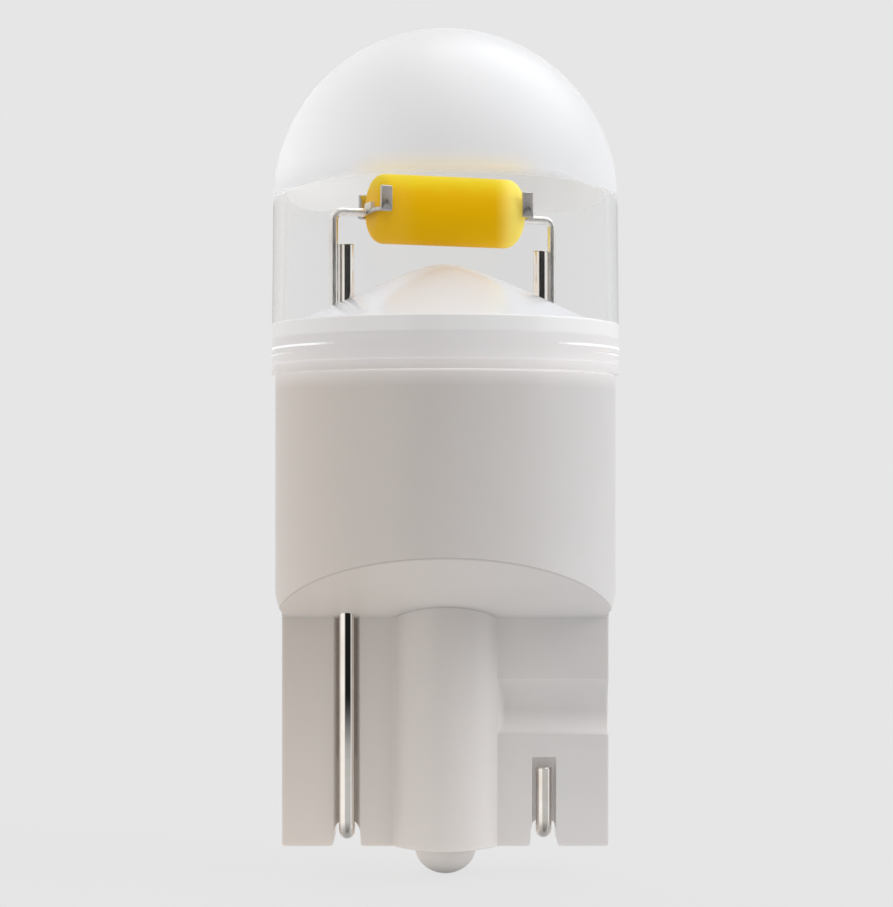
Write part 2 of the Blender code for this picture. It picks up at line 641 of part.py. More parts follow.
def make_clips(source):
    """Folded clips: an upright plate on each flank of the phosphor, joined by a low band."""
    side_y = CAPSULE_RADIUS + SEAT_GAP + CLIP_THICKNESS / 2
    plate_size = (CLIP_PLATE_WIDTH, CLIP_THICKNESS, CLIP_PLATE_HEIGHT)
    for side, turn in HALF_TURNS:
        level = Matrix.Translation((0.0, 0.0, -CLIP_BAND_DROP))
        data = plate_mesh("band", band_outline(), CLIP_BAND_HEIGHT, level)
        clip = add_object(f"end_clip_{side}", data, CLIP_METAL, source, turn)
        plates = [(plate_size, (-CLIP_SPACING / 2, sign * side_y, CLIP_PLATE_RISE)) for sign in (-1, 1)]
        combine(clip, add_object(f"plates_{side}", box_mesh("plates", plates), None, source, turn), "UNION")


def make_board():
    """Round driver board on the housing's ledge, with holes for all four wires."""
    radius = MOUTH_RADIUS - BOARD_GAP
    disc = rod_mesh("driver_board", radius, (0.0, 0.0, BOARD_BASE_Z), (0.0, 0.0, BOARD_TOP_Z), BODY_STEPS)
    board = add_object("driver_board", disc, BOARD_GREEN)
    low, high = BOARD_BASE_Z - BOARD_THICKNESS, BOARD_TOP_Z + BOARD_THICKNESS
    for side, turn in HALF_TURNS:
        holes = rods_mesh("board_holes", [
            (BORE_RADIUS, (WIRE_X, WIRE_Y, low), (WIRE_X, WIRE_Y, high)),
            (LEAD_BORE_RADIUS, (-LEAD_PAD_X, -LEAD_PAD_Y, low), (-LEAD_PAD_X, -LEAD_PAD_Y, high))])
        combine(board, add_object(f"board_holes_{side}", holes, turn=turn), "DIFFERENCE")


def make_solder(name, place, bore, base_z, upwards, turn):
    """Soldered joint: a ring with a hollow-sided cone round a wire, on one face of the board."""
    sign = 1.0 if upwards else -1.0
    shares = [SOLDER_TOP_SHARE * index / SOLDER_STEPS for index in range(SOLDER_STEPS + 1)]
    slope = [(bore + SOLDER_COLLAR * (1.0 - share) ** 2, base_z + sign * share * SOLDER_HEIGHT)
             for share in shares]
    top = (bore, slope[-1][1])
    foot = (bore, base_z)
    profile = [top] + slope[::-1] + [foot] if upwards else [foot] + slope + [top]
    ring = turned(name, profile, SOLDER, SMALL_STEPS)
    ring.location = Matrix.Rotation(turn, 3, "Z") @ Vector((*place, 0.0))


def make_solder_joints():
    """Contact joints on top of the board and lead joints under it."""
    for side, turn in HALF_TURNS:
        make_solder(f"contact_solder_{side}", (WIRE_X, WIRE_Y), BORE_RADIUS, BOARD_TOP_Z + SEAT_GAP,
                    True, turn)
        make_solder(f"lead_solder_{side}", (-LEAD_PAD_X, -LEAD_PAD_Y), LEAD_BORE_RADIUS,
                    BOARD_BASE_Z - SEAT_GAP, False, turn)


def board_seat(height, below):
    """Centre height of a component that sits on the board's upper or lower face."""
    offset = SEAT_GAP + height / 2
    return BOARD_BASE_Z - offset if below else BOARD_TOP_Z + offset


def make_package(name, size, place, below=False):
    """Moulded package with a row of flat legs along two sides, level with its seat."""
    length, width, height = size
    item = add_object(name, box_mesh(name, [(size, (0.0, 0.0, 0.0))]), PACKAGE_BLACK)
    item.location = (*place, board_seat(height, below))
    bevel = item.modifiers.new("edges", "BEVEL")
    bevel.width = PACKAGE_EDGE
    bevel.segments = 2
    leg_z = (height - LEG_THICKNESS) / 2 * (1 if below else -1)
    pitch = length / LEGS_PER_SIDE
    legs = []
    for index in range(LEGS_PER_SIDE):
        leg_x = (index - (LEGS_PER_SIDE - 1) / 2) * pitch
        legs.append(((LEG_WIDTH, width + 2 * LEG_REACH, LEG_THICKNESS), (leg_x, 0.0, leg_z)))
    cutter = add_object(f"{name}_legs", box_mesh("legs", legs))
    cutter.location = item.location
    combine(item, cutter, "UNION")


def make_two_terminal(name, size, place, material, below=False):
    """Small soldered block with a slightly larger metal cap on each end."""
    length, width, height = size
    core = (length, width - 2 * END_CAP_RAISE, height - 2 * END_CAP_RAISE)
    item = add_object(name, box_mesh(name, [(core, (0.0, 0.0, 0.0))]), material)
    item.location = (*place, board_seat(height, below))
    cap_x = (length - END_CAP_LENGTH) / 2
    caps = [((END_CAP_LENGTH, width, height), (sign * cap_x, 0.0, 0.0)) for sign in (-1, 1)]
    cutter = add_object(f"{name}_caps", box_mesh("caps", caps))
    cutter.location = item.location
    combine(item, cutter, "UNION")


def make_electronics():
    """Everything on the driver board."""
    make_package("driver_chip", DRIVER_SIZE, DRIVER_PLACE)
    make_package("bridge_rectifier", BRIDGE_SIZE, BRIDGE_PLACE, below=True)
    make_two_terminal("filter_capacitor", CAPACITOR_SIZE, CAPACITOR_PLACE, CERAMIC, below=True)
    make_two_terminal("surge_diode", DIODE_SIZE, DIODE_PLACE, PACKAGE_BLACK)
    for index, place in enumerate(RESISTOR_PLACES):
        make_two_terminal(f"sense_resistor_{index + 1}", RESISTOR_SIZE, place, PACKAGE_BLACK)


def make_light_source():
    """The phosphor body, its core and its clips, on an empty turned to the lead wires' line."""
    source = bpy.data.objects.new("light_source_axis", None)
    BULB.objects.link(source)
    source.location.z = SOURCE_Z
    source.rotation_euler.z = SOURCE_YAW
    make_capsule(source)
    make_substrate(source)
    make_clips(source)


clear_scene()
BULB = new_collection("wedge_base_led_bulb")
CUTTERS = new_collection("cutters")
WHITE_MOULDING = new_material("white_moulding", (0.62, 0.55, 0.52), 0.35)
WHITE_REFLECTOR = new_material("white_reflector", (0.72, 0.70, 0.68), 0.25)
CLEAR_CAP = new_material("clear_cap", (0.92, 0.93, 0.94), 0.08, alpha=0.25)
PLATED_WIRE = new_material("plated_wire", (0.75, 0.72, 0.69), 0.12, 1.0)
CLIP_METAL = new_material("clip_metal", (0.60, 0.60, 0.60), 0.25, 1.0)
PHOSPHOR = new_material("phosphor", (0.82, 0.52, 0.01), 0.45)
CERAMIC = new_material("ceramic", (0.70, 0.66, 0.58), 0.40)
CHIP_DIE = new_material("chip_die", (0.35, 0.42, 0.60), 0.15)
BOARD_GREEN = new_material("board_green", (0.03, 0.16, 0.07), 0.35)
PACKAGE_BLACK = new_material("package_black", (0.02, 0.02, 0.022), 0.50)
SOLDER = new_material("solder", (0.62, 0.62, 0.64), 0.28, 1.0)

make_housing()
make_reflector()
make_cap()
make_contact_wires()
make_lead_wires()
make_light_source()
make_board()
make_solder_joints()
make_electronics()
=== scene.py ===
"""Looks of a wedge base LED bulb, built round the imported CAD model.

Metres, +Z up along the bulb's axis, the front looks along -Y. The bulb repeats itself after half a turn
about Z, so a paired piece is worked out once, for the left of the front, and turned for the right.
"""
import logging
import math
from dataclasses import dataclass, field
from enum import Enum
from typing import Any

import bmesh
import bpy
import numpy as np
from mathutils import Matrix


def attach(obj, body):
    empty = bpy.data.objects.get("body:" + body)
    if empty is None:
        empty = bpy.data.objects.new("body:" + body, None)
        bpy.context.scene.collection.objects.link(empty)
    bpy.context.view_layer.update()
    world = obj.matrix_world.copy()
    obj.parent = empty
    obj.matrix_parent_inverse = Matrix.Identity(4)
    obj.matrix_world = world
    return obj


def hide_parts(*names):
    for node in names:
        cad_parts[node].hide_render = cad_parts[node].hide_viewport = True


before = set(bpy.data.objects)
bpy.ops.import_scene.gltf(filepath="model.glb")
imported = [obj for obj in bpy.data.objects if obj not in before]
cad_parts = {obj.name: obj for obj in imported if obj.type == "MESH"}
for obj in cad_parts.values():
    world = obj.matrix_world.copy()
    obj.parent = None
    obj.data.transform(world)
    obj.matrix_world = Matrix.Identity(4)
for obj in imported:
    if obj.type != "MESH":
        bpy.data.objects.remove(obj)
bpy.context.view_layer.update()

LOG = logging.getLogger("bulb")
MM = 0.001
WELD = 1e-7
RAMP_ANGLE = math.radians(24.5)
SIDES = (("left", 0.0), ("right", math.pi))
Points = np.ndarray
Shell = tuple[np.ndarray, np.ndarray]


class Slot(Enum):
    """Material slots of the record that pieces take their finish from."""

    CLEAR_CAP = "clear_cap"
    WHITE_MOULDING = "white_moulding"
    WHITE_REFLECTOR = "white_reflector"
    PLATED_WIRE = "plated_wire"
    CLIP_METAL = "clip_metal"
    PHOSPHOR = "phosphor"


def linear(hex_colour: str) -> tuple[float, float, float, float]:
    """Turn an sRGB hex colour into a linear one with full alpha.

    Args:
        hex_colour: six hex digits, such as "E6DDD6".

    Returns:
        Red, green, blue and alpha, each from 0 to 1.
    """
    parts = np.array([int(hex_colour[start:start + 2], 16) for start in (0, 2, 4)]) / 255.0
    values = np.where(parts <= 0.04045, parts / 12.92, ((parts + 0.055) / 1.055) ** 2.4)
    return (float(values[0]), float(values[1]), float(values[2]), 1.0)


def add_node(tree: bpy.types.NodeTree, kind: str, inputs: dict[str | int, Any] | None = None,
             **settings: Any) -> bpy.types.Node:
    """Add a node, apply its settings, and fill or link its inputs.

    Args:
        tree: the node tree to add to.
        kind: Blender's name for the type of node.
        inputs: socket name or number, with a plain value, an output socket, or a node whose first output
            in use is the one to link. "From" and "To" take a pair, for their Min and Max sockets.
        settings: attributes of the node itself.

    Returns:
        The new node.
    """
    node = tree.nodes.new(kind)
    for name, value in settings.items():
        setattr(node, name, value)
    values = dict(inputs or {})
    for pair in {"From", "To"} & values.keys():
        values[f"{pair} Min"], values[f"{pair} Max"] = values.pop(pair)
    for name, value in values.items():
        if isinstance(value, bpy.types.Node):
            value = next(output for output in value.outputs if output.enabled)
        if isinstance(value, bpy.types.NodeSocket):
            tree.links.new(value, node.inputs[name])
        else:
            node.inputs[name].default_value = value
    return node


def grid_faces(rows: int, columns: int, wrap_rows: bool, wrap_columns: bool) -> np.ndarray:
    """Quads between neighbours of a grid of points.

    Args:
        rows: number of rows of points.
        columns: number of points in a row.
        wrap_rows: join the last row to the first.
        wrap_columns: join the last column to the first.

    Returns:
        Four point numbers for each face.
    """
    down = np.arange(rows if wrap_rows else rows - 1)
    along = np.arange(columns if wrap_columns else columns - 1)
    row, column = np.meshgrid(down, along, indexing="ij")
    next_row, next_column = (row + 1) % rows, (column + 1) % columns
    corners = (row * columns + column, row * columns + next_column,
               next_row * columns + next_column, next_row * columns + column)
    return np.stack(corners, axis=-1).reshape(-1, 4)


def shell(points: Points, wrap_rows: bool = False, wrap_columns: bool = False) -> Shell:
    """Turn a grid of points into a closed skin whose faces point outwards.

    The sign of the enclosed volume, a sixth of the sum of each face's corner times the cross product of its
    diagonals, says whether the faces have to be turned round.

    Args:
        points: array of rows, columns and coordinates.
        wrap_rows: join the last row to the first.
        wrap_columns: join the last column to the first.

    Returns:
        Flat arrays of the points and of the faces.
    """
    rows, columns, _ = points.shape
    faces = grid_faces(rows, columns, wrap_rows, wrap_columns)
    flat = points.reshape(-1, 3)
    first, second, third, fourth = (flat[faces[:, corner]] for corner in range(4))
    volume = np.einsum("ij,ij->i", first, np.cross(third - first, fourth - second)).sum()
    return flat, faces if volume > 0.0 else faces[:, ::-1]


def turned_shell(radii: Points, heights: Points, steps: int) -> Shell:
    """Skin of a profile carried round Z: each point is (r cos t, r sin t, z).

    Args:
        radii: distance of each profile point from the axis.
        heights: height of each profile point.
        steps: number of columns round the axis.

    Returns:
        The skin, closed where the profile starts and ends on the axis or the profile is a loop.
    """
    angles = np.linspace(0.0, 2.0 * math.pi, steps, endpoint=False)
    radii, heights = np.asarray(radii, float), np.asarray(heights, float)
    points = np.stack((radii[:, None] * np.cos(angles), radii[:, None] * np.sin(angles),
                       np.broadcast_to(heights[:, None], (len(heights), steps))), axis=-1)
    return shell(points, wrap_rows=radii[0] > 0.0, wrap_columns=True)


def rounded_route(corners: list[tuple[float, float, float]], radius: float, steps: int = 10) -> Points:
    """Path through corners in space, each rounded by an arc that meets both of its runs.

    The arc's points are a spherical mix of its first and last spoke: sin((1 - s) a) and sin(s a) over sin a.

    Args:
        corners: the path's corner points.
        radius: radius of every bend.
        steps: number of pieces in each bend.

    Returns:
        Array of points along the path.
    """
    knots = np.array(corners, float)
    parts = [knots[:1]]
    share = np.linspace(0.0, 1.0, steps + 1)[:, None]
    for before, corner, after in zip(knots[:-2], knots[1:-1], knots[2:]):
        back = (before - corner) / np.linalg.norm(before - corner)
        onward = (after - corner) / np.linalg.norm(after - corner)
        half = math.acos(float(np.clip(back @ onward, -1.0, 1.0))) / 2.0
        middle = (back + onward) / np.linalg.norm(back + onward)
        centre = corner + middle * radius / math.sin(half)
        first = corner + back * radius / math.tan(half) - centre
        last = corner + onward * radius / math.tan(half) - centre
        sweep = math.pi - 2.0 * half
        spokes = (first * np.sin((1.0 - share) * sweep) + last * np.sin(share * sweep)) / math.sin(sweep)
        parts.append(centre + spokes)
    parts.append(knots[-1:])
    return np.concatenate(parts)


def supported(path: Points, spacing: float, tuck: float) -> Points:
    """Add points to a path's long straight runs: a tuck from each end, and evenly in between.

    They keep the smooth shading of a flat run flat up to its rounded ends.

    Args:
        path: points of the path.
        spacing: longest run left without a point.
        tuck: distance of the end points from the run's ends.

    Returns:
        The path with its added points, which all lie on it.
    """
    lengths = np.linalg.norm(np.diff(path, axis=0), axis=1)
    stations = np.concatenate(([0.0], np.cumsum(lengths)))
    wide = lengths > 12.0 * tuck
    even = np.arange(spacing, stations[-1], spacing)
    nearest = np.abs(even[:, None] - stations[None]).min(axis=1)
    added = np.concatenate((stations[:-1][wide] + tuck, stations[1:][wide] - tuck,
                            even[nearest > 1.5 * tuck]))
    places = np.sort(np.concatenate((stations, added)))
    return np.stack([np.interp(places, stations, path[:, axis]) for axis in range(path.shape[1])], axis=-1)


def rounded_profile(corners: list[tuple[float, float, float]], steps: int = 5) -> Points:
    """Profile through (radius, height) corners, each rounded by its own arc, or sharp at 0.

    Args:
        corners: radius, height and edge radius of each corner.
        steps: number of pieces in each arc.

    Returns:
        Array of (radius, height) points.
    """
    parts = [np.array([corners[0][:2]])]
    for before, corner, after in zip(corners[:-2], corners[1:-1], corners[2:]):
        if corner[2] == 0.0:
            parts.append(np.array([corner[:2]]))
            continue
        bend = [(point[0], 0.0, point[1]) for point in (before, corner, after)]
        parts.append(rounded_route(bend, corner[2], steps)[1:-1, (0, 2)])
    parts.append(np.array([corners[-1][:2]]))
    return np.concatenate(parts)


def carried_shell(route: Points, section: Points, side: tuple[float, float, float], ends: Points) -> Shell:
    """Skin of a flat section carried along a path, with both ends drawn in to a point.

    Each ring is p + n u + b v, where n is the side direction made square to the path's tangent t, and
    b is t x n. The first and last rings repeat at shrinking sizes, which closes and rounds the ends.

    Args:
        route: points along the path.
        section: loop of (u, v) points.
        side: direction that the section's u keeps near.
        ends: (inset, scale) rows that lead from an end's tip to the full section.

    Returns:
        The closed skin.
    """
    route = supported(route, 1.0 * MM, 0.02 * MM)
    tangent = np.gradient(route, axis=0)
    tangent /= np.linalg.norm(tangent, axis=1, keepdims=True)
    first, last = tangent[0], tangent[-1]
    insets, scales = ends[:, :1], ends[:, 1]
    head = route[:1] + first * insets
    tail = (route[-1:] - last * insets)[::-1]
    centres = np.concatenate((head, route[1:-1], tail))
    tangents = np.concatenate((np.repeat(first[None], len(ends), 0), tangent[1:-1],
                               np.repeat(last[None], len(ends), 0)))
    sizes = np.concatenate((scales, np.ones(len(route) - 2), scales[::-1]))
    across = np.array(side, float) - (tangents @ np.array(side, float))[:, None] * tangents
    across /= np.linalg.norm(across, axis=1, keepdims=True)
    up = np.cross(tangents, across)
    spread = sizes[:, None, None]
    points = (centres[:, None] + across[:, None] * section[None, :, :1] * spread
              + up[:, None] * section[None, :, 1:] * spread)
    return shell(points, wrap_columns=True)


def round_section(radius: float, steps: int = 32) -> Points:
    """Loop of points on a circle."""
    angles = np.linspace(0.0, 2.0 * math.pi, steps, endpoint=False)
    return np.stack((radius * np.cos(angles), radius * np.sin(angles)), axis=-1)


def cut_ends(radius: float, edge: float) -> Points:
    """Rows of (inset, scale) for a cut end, which follow a quarter circle from its face to its side.

    Args:
        radius: half of the section's size.
        edge: radius of the end's rim.

    Returns:
        The rows, from the middle of the end's face to the full section.
    """
    angles = np.linspace(0.0, math.pi / 2.0, 5)
    insets = edge * (1.0 - np.cos(angles))
    scales = 1.0 - edge / radius * (1.0 - np.sin(angles))
    return np.concatenate((np.zeros((1, 2)), np.stack((insets, scales), axis=-1)))


def slab_shell(outline: Points, thickness: float, edge: float) -> Shell:
    """Skin of a flat star-shaped outline with thickness along the third axis and rounded rims.

    Rings of the outline shrink towards its centre by the edge radius times one minus a sine, while their
    height over each face follows one minus a cosine, and the last ring of each face is the centre itself.

    Args:
        outline: loop of (u, v) points round the origin.
        thickness: size along the third axis.
        edge: radius of the rims.

    Returns:
        The closed skin.
    """
    angles = np.linspace(0.0, math.pi / 2.0, 4)
    reach = np.linalg.norm(outline, axis=1, keepdims=True)
    insets = np.concatenate(([0.0], edge * (1.0 - np.cos(angles))))
    shrinks = edge * (1.0 - np.sin(angles))
    rings = [outline * 0.0] + [outline * (1.0 - shrink / reach) for shrink in shrinks]
    upper = [np.column_stack((ring, np.full(len(ring), thickness / 2.0 - inset)))
             for ring, inset in zip(rings, insets)]
    lower = [ring * (1.0, 1.0, -1.0) for ring in upper[::-1]]
    return shell(np.stack(upper + lower), wrap_columns=True)


def rounded_box_outline(width: float, height: float, corner: float) -> Points:
    """Loop of points round a rectangle with round corners, centred on the origin.

    Args:
        width: size along u.
        height: size along v.
        corner: radius of the corners.

    Returns:
        Array of (u, v) points.
    """
    quarter = np.linspace(0.0, math.pi / 2.0, 6)
    across, up = width / 2.0 - corner, height / 2.0 - corner
    loops = [np.stack((sign_u * across + corner * np.cos(quarter + start),
                       sign_v * up + corner * np.sin(quarter + start)), axis=-1)
             for sign_u, sign_v, start in ((1, 1, 0.0), (-1, 1, math.pi / 2.0),
                                           (-1, -1, math.pi), (1, -1, 1.5 * math.pi))]
    return np.concatenate(loops)


def snap_wave(wall: float, middle_z: float, depth: float = 0.02 * MM, reach: float = 0.4 * MM) -> Points:
    """Profile of the snap ring: the wall drawn in by depth times the squared cosine of height over reach.

    Args:
        wall: radius of the wall.
        middle_z: height of the ring's middle.
        depth: how far the wall is drawn in.
        reach: half of the ring's height.

    Returns:
        Array of (radius, height) points, from the bottom up.
    """
    turn = np.linspace(-math.pi / 2.0, math.pi / 2.0, 21)
    return np.stack((wall - depth * np.cos(turn) ** 2, middle_z + reach * turn / (math.pi / 2.0)), axis=-1)


def placed(skin: Shell, turn: float, move: tuple[float, float, float] = (0.0, 0.0, 0.0)) -> Shell:
    """Move a skin, then turn it about Z: x cos t - y sin t, x sin t + y cos t.

    Args:
        skin: the skin's points and faces.
        turn: angle in radians.
        move: how far the skin moves before it is turned.

    Returns:
        The skin in its new place.
    """
    points, faces = skin
    cosine, sine = math.cos(turn), math.sin(turn)
    matrix = np.array(((cosine, -sine, 0.0), (sine, cosine, 0.0), (0.0, 0.0, 1.0)))
    return (points + np.array(move)) @ matrix.T, faces


def smooth_step(value: Points, low: float, high: float) -> Points:
    """Blend from 0 at low to 1 at high: 3 s squared minus 2 s cubed."""
    share = np.clip((value - low) / (high - low), 0.0, 1.0)
    return share * share * (3.0 - 2.0 * share)


def graded(low: float, high: float, spacing: float, marks: list[float], reach: float, fine: float) -> Points:
    """Stations from low to high, evenly spaced and drawn together round each mark.

    Args:
        low: first station.
        high: last station.
        spacing: distance between stations away from marks.
        marks: places that need fine stations.
        reach: how far the fine stations go on each side of a mark.
        fine: distance between fine stations.

    Returns:
        Sorted stations, none closer than a third of the fine distance.
    """
    wide = np.linspace(low, high, int(round((high - low) / spacing)) + 1)
    close = (np.array(marks)[:, None] + np.arange(-reach, reach + fine / 2.0, fine)[None]).ravel()
    stations = np.unique(np.concatenate((wide, close[(close > low) & (close < high)])))
    keep = np.concatenate(([True], np.diff(stations) > fine / 3.0))
    stations = stations[keep]
    stations[-1] = high
    return stations


def make_piece(name: str, skins: list[Shell], material: bpy.types.Material,
               replaces: tuple[str, ...], crease: float = 40.0) -> bpy.types.Object:
    """Put closed skins into one smooth mesh object that stands for CAD nodes.

    Args:
        name: name of the new piece.
        skins: closed skins, each with its points and faces.
        material: finish of the whole piece.
        replaces: CAD nodes that the piece stands for.
        crease: angle in degrees past which an edge is shown sharp.

    Returns:
        The new object, which rides on the root body.
    """
    offsets = np.cumsum([0] + [len(points) for points, _ in skins[:-1]])
    points = np.concatenate([points for points, _ in skins])
    faces = np.concatenate([faces + offset for (_, faces), offset in zip(skins, offsets)])
    data = bpy.data.meshes.new(name)
    data.from_pydata(points.tolist(), [], faces.tolist())
    work = bmesh.new()
    work.from_mesh(data)
    bmesh.ops.remove_doubles(work, verts=work.verts, dist=WELD)
    work.to_mesh(data)
    work.free()
    data.shade_smooth()
    data.set_sharp_from_angle(angle=math.radians(crease))
    data.materials.append(material)
    piece = bpy.data.objects.new(name, data)
    bpy.context.scene.collection.objects.link(piece)
    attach(piece, "root")
    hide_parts(*replaces)
    LOG.info("%s: %d faces", name, len(data.polygons))
    return piece


@dataclass(frozen=True)
class Finish:
    """A material made from nodes that read Object coordinates."""

    name: str

    def start(self) -> tuple[bpy.types.Material, bpy.types.NodeTree, bpy.types.NodeSocket]:
        """Make the material with an empty tree and its object coordinates.

        Returns:
            The material, its node tree and the Object coordinate socket.
        """
        material = bpy.data.materials.new(self.name)
        material.use_nodes = True
        tree = material.node_tree
        tree.nodes.clear()
        coordinates = add_node(tree, "ShaderNodeTexCoord")
        return material, tree, coordinates.outputs["Object"]

    @staticmethod
    def finish(tree: bpy.types.NodeTree, shader: bpy.types.Node) -> None:
        """Send a shader to the material's output."""
        add_node(tree, "ShaderNodeOutputMaterial", {"Surface": shader})


@dataclass(frozen=True)
class HousingPaintedLightAndShade:
    """Painted shade along the edges of the housing's slopes, painted light in the wire groove and slot,
    and a painted highlight low in its detents.

    A pair named for a fade gives the two places that a mark fades between, and a pair named for a band gives
    its middle and half its width.
    """

    slope: float
    axis_z: float
    line_bands: tuple[tuple[float, float], ...] = ((0.035 * MM, 0.018 * MM), (-0.06 * MM, 0.025 * MM))
    line_fade: tuple[float, float] = (0.96 * MM, 1.1 * MM)
    line_share: tuple[float, float] = (0.05, 0.24)
    painted_shade_colour: str = "6E6260"
    web_fade: tuple[float, float] = (0.86 * MM, 0.5 * MM)
    web_top_fade: tuple[float, float] = (3.62 * MM, 3.5 * MM)
    web_band: tuple[float, float] = (2.865 * MM, 0.4 * MM)
    painted_web_light: float = 0.17
    detent_fade: tuple[float, float] = (0.92 * MM, 0.85 * MM)
    detent_low_fade: tuple[float, float] = (4.95 * MM, 4.45 * MM)
    detent_band: tuple[float, float] = (5.0 * MM, 0.86 * MM)
    painted_detent_highlight: float = 0.1

    def add(self, tree: bpy.types.NodeTree, across: bpy.types.Node,
            colour: bpy.types.Node) -> tuple[bpy.types.Node, bpy.types.Node]:
        """Add the painted shade and light. A shade line is where z - (slope x |y| + height at the axis) is
        near the line's middle.

        Args:
            tree: the material's nodes.
            across: node with the separate coordinates.
            colour: node of the colour so far.

        Returns:
            Node of the colour with the lines, and node of the strength of the light.
        """
        x, y, z = across.outputs
        # Painted shade: thin dark lines along the edges of the sloped underside.
        aside = add_node(tree, "ShaderNodeMath", {0: y}, operation="ABSOLUTE")
        plane = add_node(tree, "ShaderNodeMath", {
            0: aside, 1: self.slope, 2: self.axis_z}, operation="MULTIPLY_ADD")
        over = add_node(tree, "ShaderNodeMath", {0: z, 1: plane}, operation="SUBTRACT")
        line: Any = 0.0
        for middle, half in self.line_bands:
            near = add_node(tree, "ShaderNodeMath", {0: over, 1: middle, 2: half}, operation="COMPARE")
            line = add_node(tree, "ShaderNodeMath", {0: near, 1: line}, operation="MAXIMUM")
        weight = add_node(tree, "ShaderNodeMapRange", {
            "Value": aside, "From": self.line_fade, "To": self.line_share})
        share = add_node(tree, "ShaderNodeMath", {0: line, 1: weight}, operation="MULTIPLY")
        lined = add_node(tree, "ShaderNodeMix", {
            0: share, 6: colour, 7: linear(self.painted_shade_colour)}, data_type="RGBA")
        # Painted light: a glow in the wire groove and slot, low on the blade.
        deep = add_node(tree, "ShaderNodeMapRange", {"Value": aside, "From": self.web_fade})
        low = add_node(tree, "ShaderNodeMapRange", {
            "Value": z, "From": self.web_top_fade, "To Max": self.painted_web_light})
        beside = add_node(tree, "ShaderNodeMath", {0: x}, operation="ABSOLUTE")
        inside = add_node(tree, "ShaderNodeMath", {
            0: beside, 1: self.web_band[0], 2: self.web_band[1]}, operation="COMPARE")
        painted_light_strength = add_node(tree, "ShaderNodeMath", {0: deep, 1: low}, operation="MULTIPLY")
        lit = add_node(tree, "ShaderNodeMath", {0: painted_light_strength, 1: inside}, operation="MULTIPLY")
        # Painted highlight: a glow in the lower half of each detent.
        scoop = add_node(tree, "ShaderNodeMapRange", {
            "Value": z, "From": self.detent_low_fade, "To Max": self.painted_detent_highlight},
            interpolation_type="SMOOTHSTEP")
        dished = add_node(tree, "ShaderNodeMapRange", {"Value": aside, "From": self.detent_fade})
        hollow = add_node(tree, "ShaderNodeMath", {0: scoop, 1: dished}, operation="MULTIPLY")
        within = add_node(tree, "ShaderNodeMath", {
            0: z, 1: self.detent_band[0], 2: self.detent_band[1]}, operation="COMPARE")
        kept = add_node(tree, "ShaderNodeMath", {0: hollow, 1: within}, operation="MULTIPLY")
        side = add_node(tree, "ShaderNodeMath", {0: x, 1: y}, operation="MULTIPLY")
        faced = add_node(tree, "ShaderNodeMath", {0: side, 1: 0.0}, operation="LESS_THAN")
        total = add_node(tree, "ShaderNodeMath", {0: kept, 1: faced, 2: lit}, operation="MULTIPLY_ADD")
        return lined, total


@dataclass(frozen=True)
class MouldedPlastic(Finish):
    """Opaque moulded thermoplastic: soft satin gloss, faint cloudiness and a fine grain from the tool.

    The tool's real grain is some 0.03 mm wide, too fine to show, so it is drawn four times as coarse.
    """

    colour: str
    cloud_colour: str
    roughness: float
    grain_mm: float = 0.12
    cloud_mm: float = 1.6
    relief_mm: float = 0.0012
    ior: float = 1.54
    warm_side: str | None = None
    warm_span: tuple[float, float] = (4.5 * MM, -4.5 * MM)
    painted_light_colour: str | None = None
    painted_light_span: tuple[float, float] = (14.2 * MM, 14.95 * MM)
    marks: HousingPaintedLightAndShade | None = None
    glow: float = 0.0
    glow_mm: tuple[float, float, float] = (0.6, 0.35, 0.25)

    def build(self) -> bpy.types.Material:
        """Make the material."""
        material, tree, place = self.start()
        clouds = add_node(tree, "ShaderNodeTexNoise", {
            "Vector": place, "Scale": 1.0 / (self.cloud_mm * MM), "Detail": 3.0, "Roughness": 0.55})
        share = add_node(tree, "ShaderNodeMapRange", {
            "Value": clouds, "From": (0.35, 0.65)}, interpolation_type="SMOOTHSTEP")
        colour = add_node(tree, "ShaderNodeMix", {
            0: share, 6: linear(self.colour), 7: linear(self.cloud_colour)}, data_type="RGBA")
        across = add_node(tree, "ShaderNodeSeparateXYZ", {"Vector": place})
        if self.warm_side:
            drift = add_node(tree, "ShaderNodeMapRange", {
                "Value": across.outputs["X"], "From": self.warm_span}, interpolation_type="SMOOTHSTEP")
            colour = add_node(tree, "ShaderNodeMix", {
                0: drift, 6: colour, 7: linear(self.warm_side)}, data_type="RGBA")
        # Painted light: a lighter colour on one side of a height, for the housing's neck and the reflector's
        # flange.
        if self.painted_light_colour:
            lit = add_node(tree, "ShaderNodeMapRange", {
                "Value": across.outputs["Z"], "From": self.painted_light_span})
            colour = add_node(tree, "ShaderNodeMix", {
                0: lit, 6: colour, 7: linear(self.painted_light_colour)}, data_type="RGBA")
        # Painted shade lines in the colour, and painted light as emission, from the housing's marks.
        painted_light_strength: Any = 0.0
        if self.marks:
            colour, painted_light_strength = self.marks.add(tree, across, colour)
        grain = add_node(tree, "ShaderNodeTexNoise", {
            "Vector": place, "Scale": 1.0 / (self.grain_mm * MM), "Detail": 2.0})
        gloss = add_node(tree, "ShaderNodeMapRange", {
            "Value": grain, "From": (0.3, 0.7), "To": (self.roughness - 0.04, self.roughness + 0.05)})
        bump = add_node(tree, "ShaderNodeBump", {
            "Height": grain, "Distance": self.relief_mm * MM, "Strength": 0.5})
        shader = add_node(tree, "ShaderNodeBsdfPrincipled", {
            "Base Color": colour, "Roughness": gloss, "IOR": self.ior, "Subsurface Weight": self.glow,
            "Subsurface Radius": self.glow_mm, "Subsurface Scale": MM, "Emission Color": colour,
            "Emission Strength": painted_light_strength, "Normal": bump})
        self.finish(tree, shader)
        return material


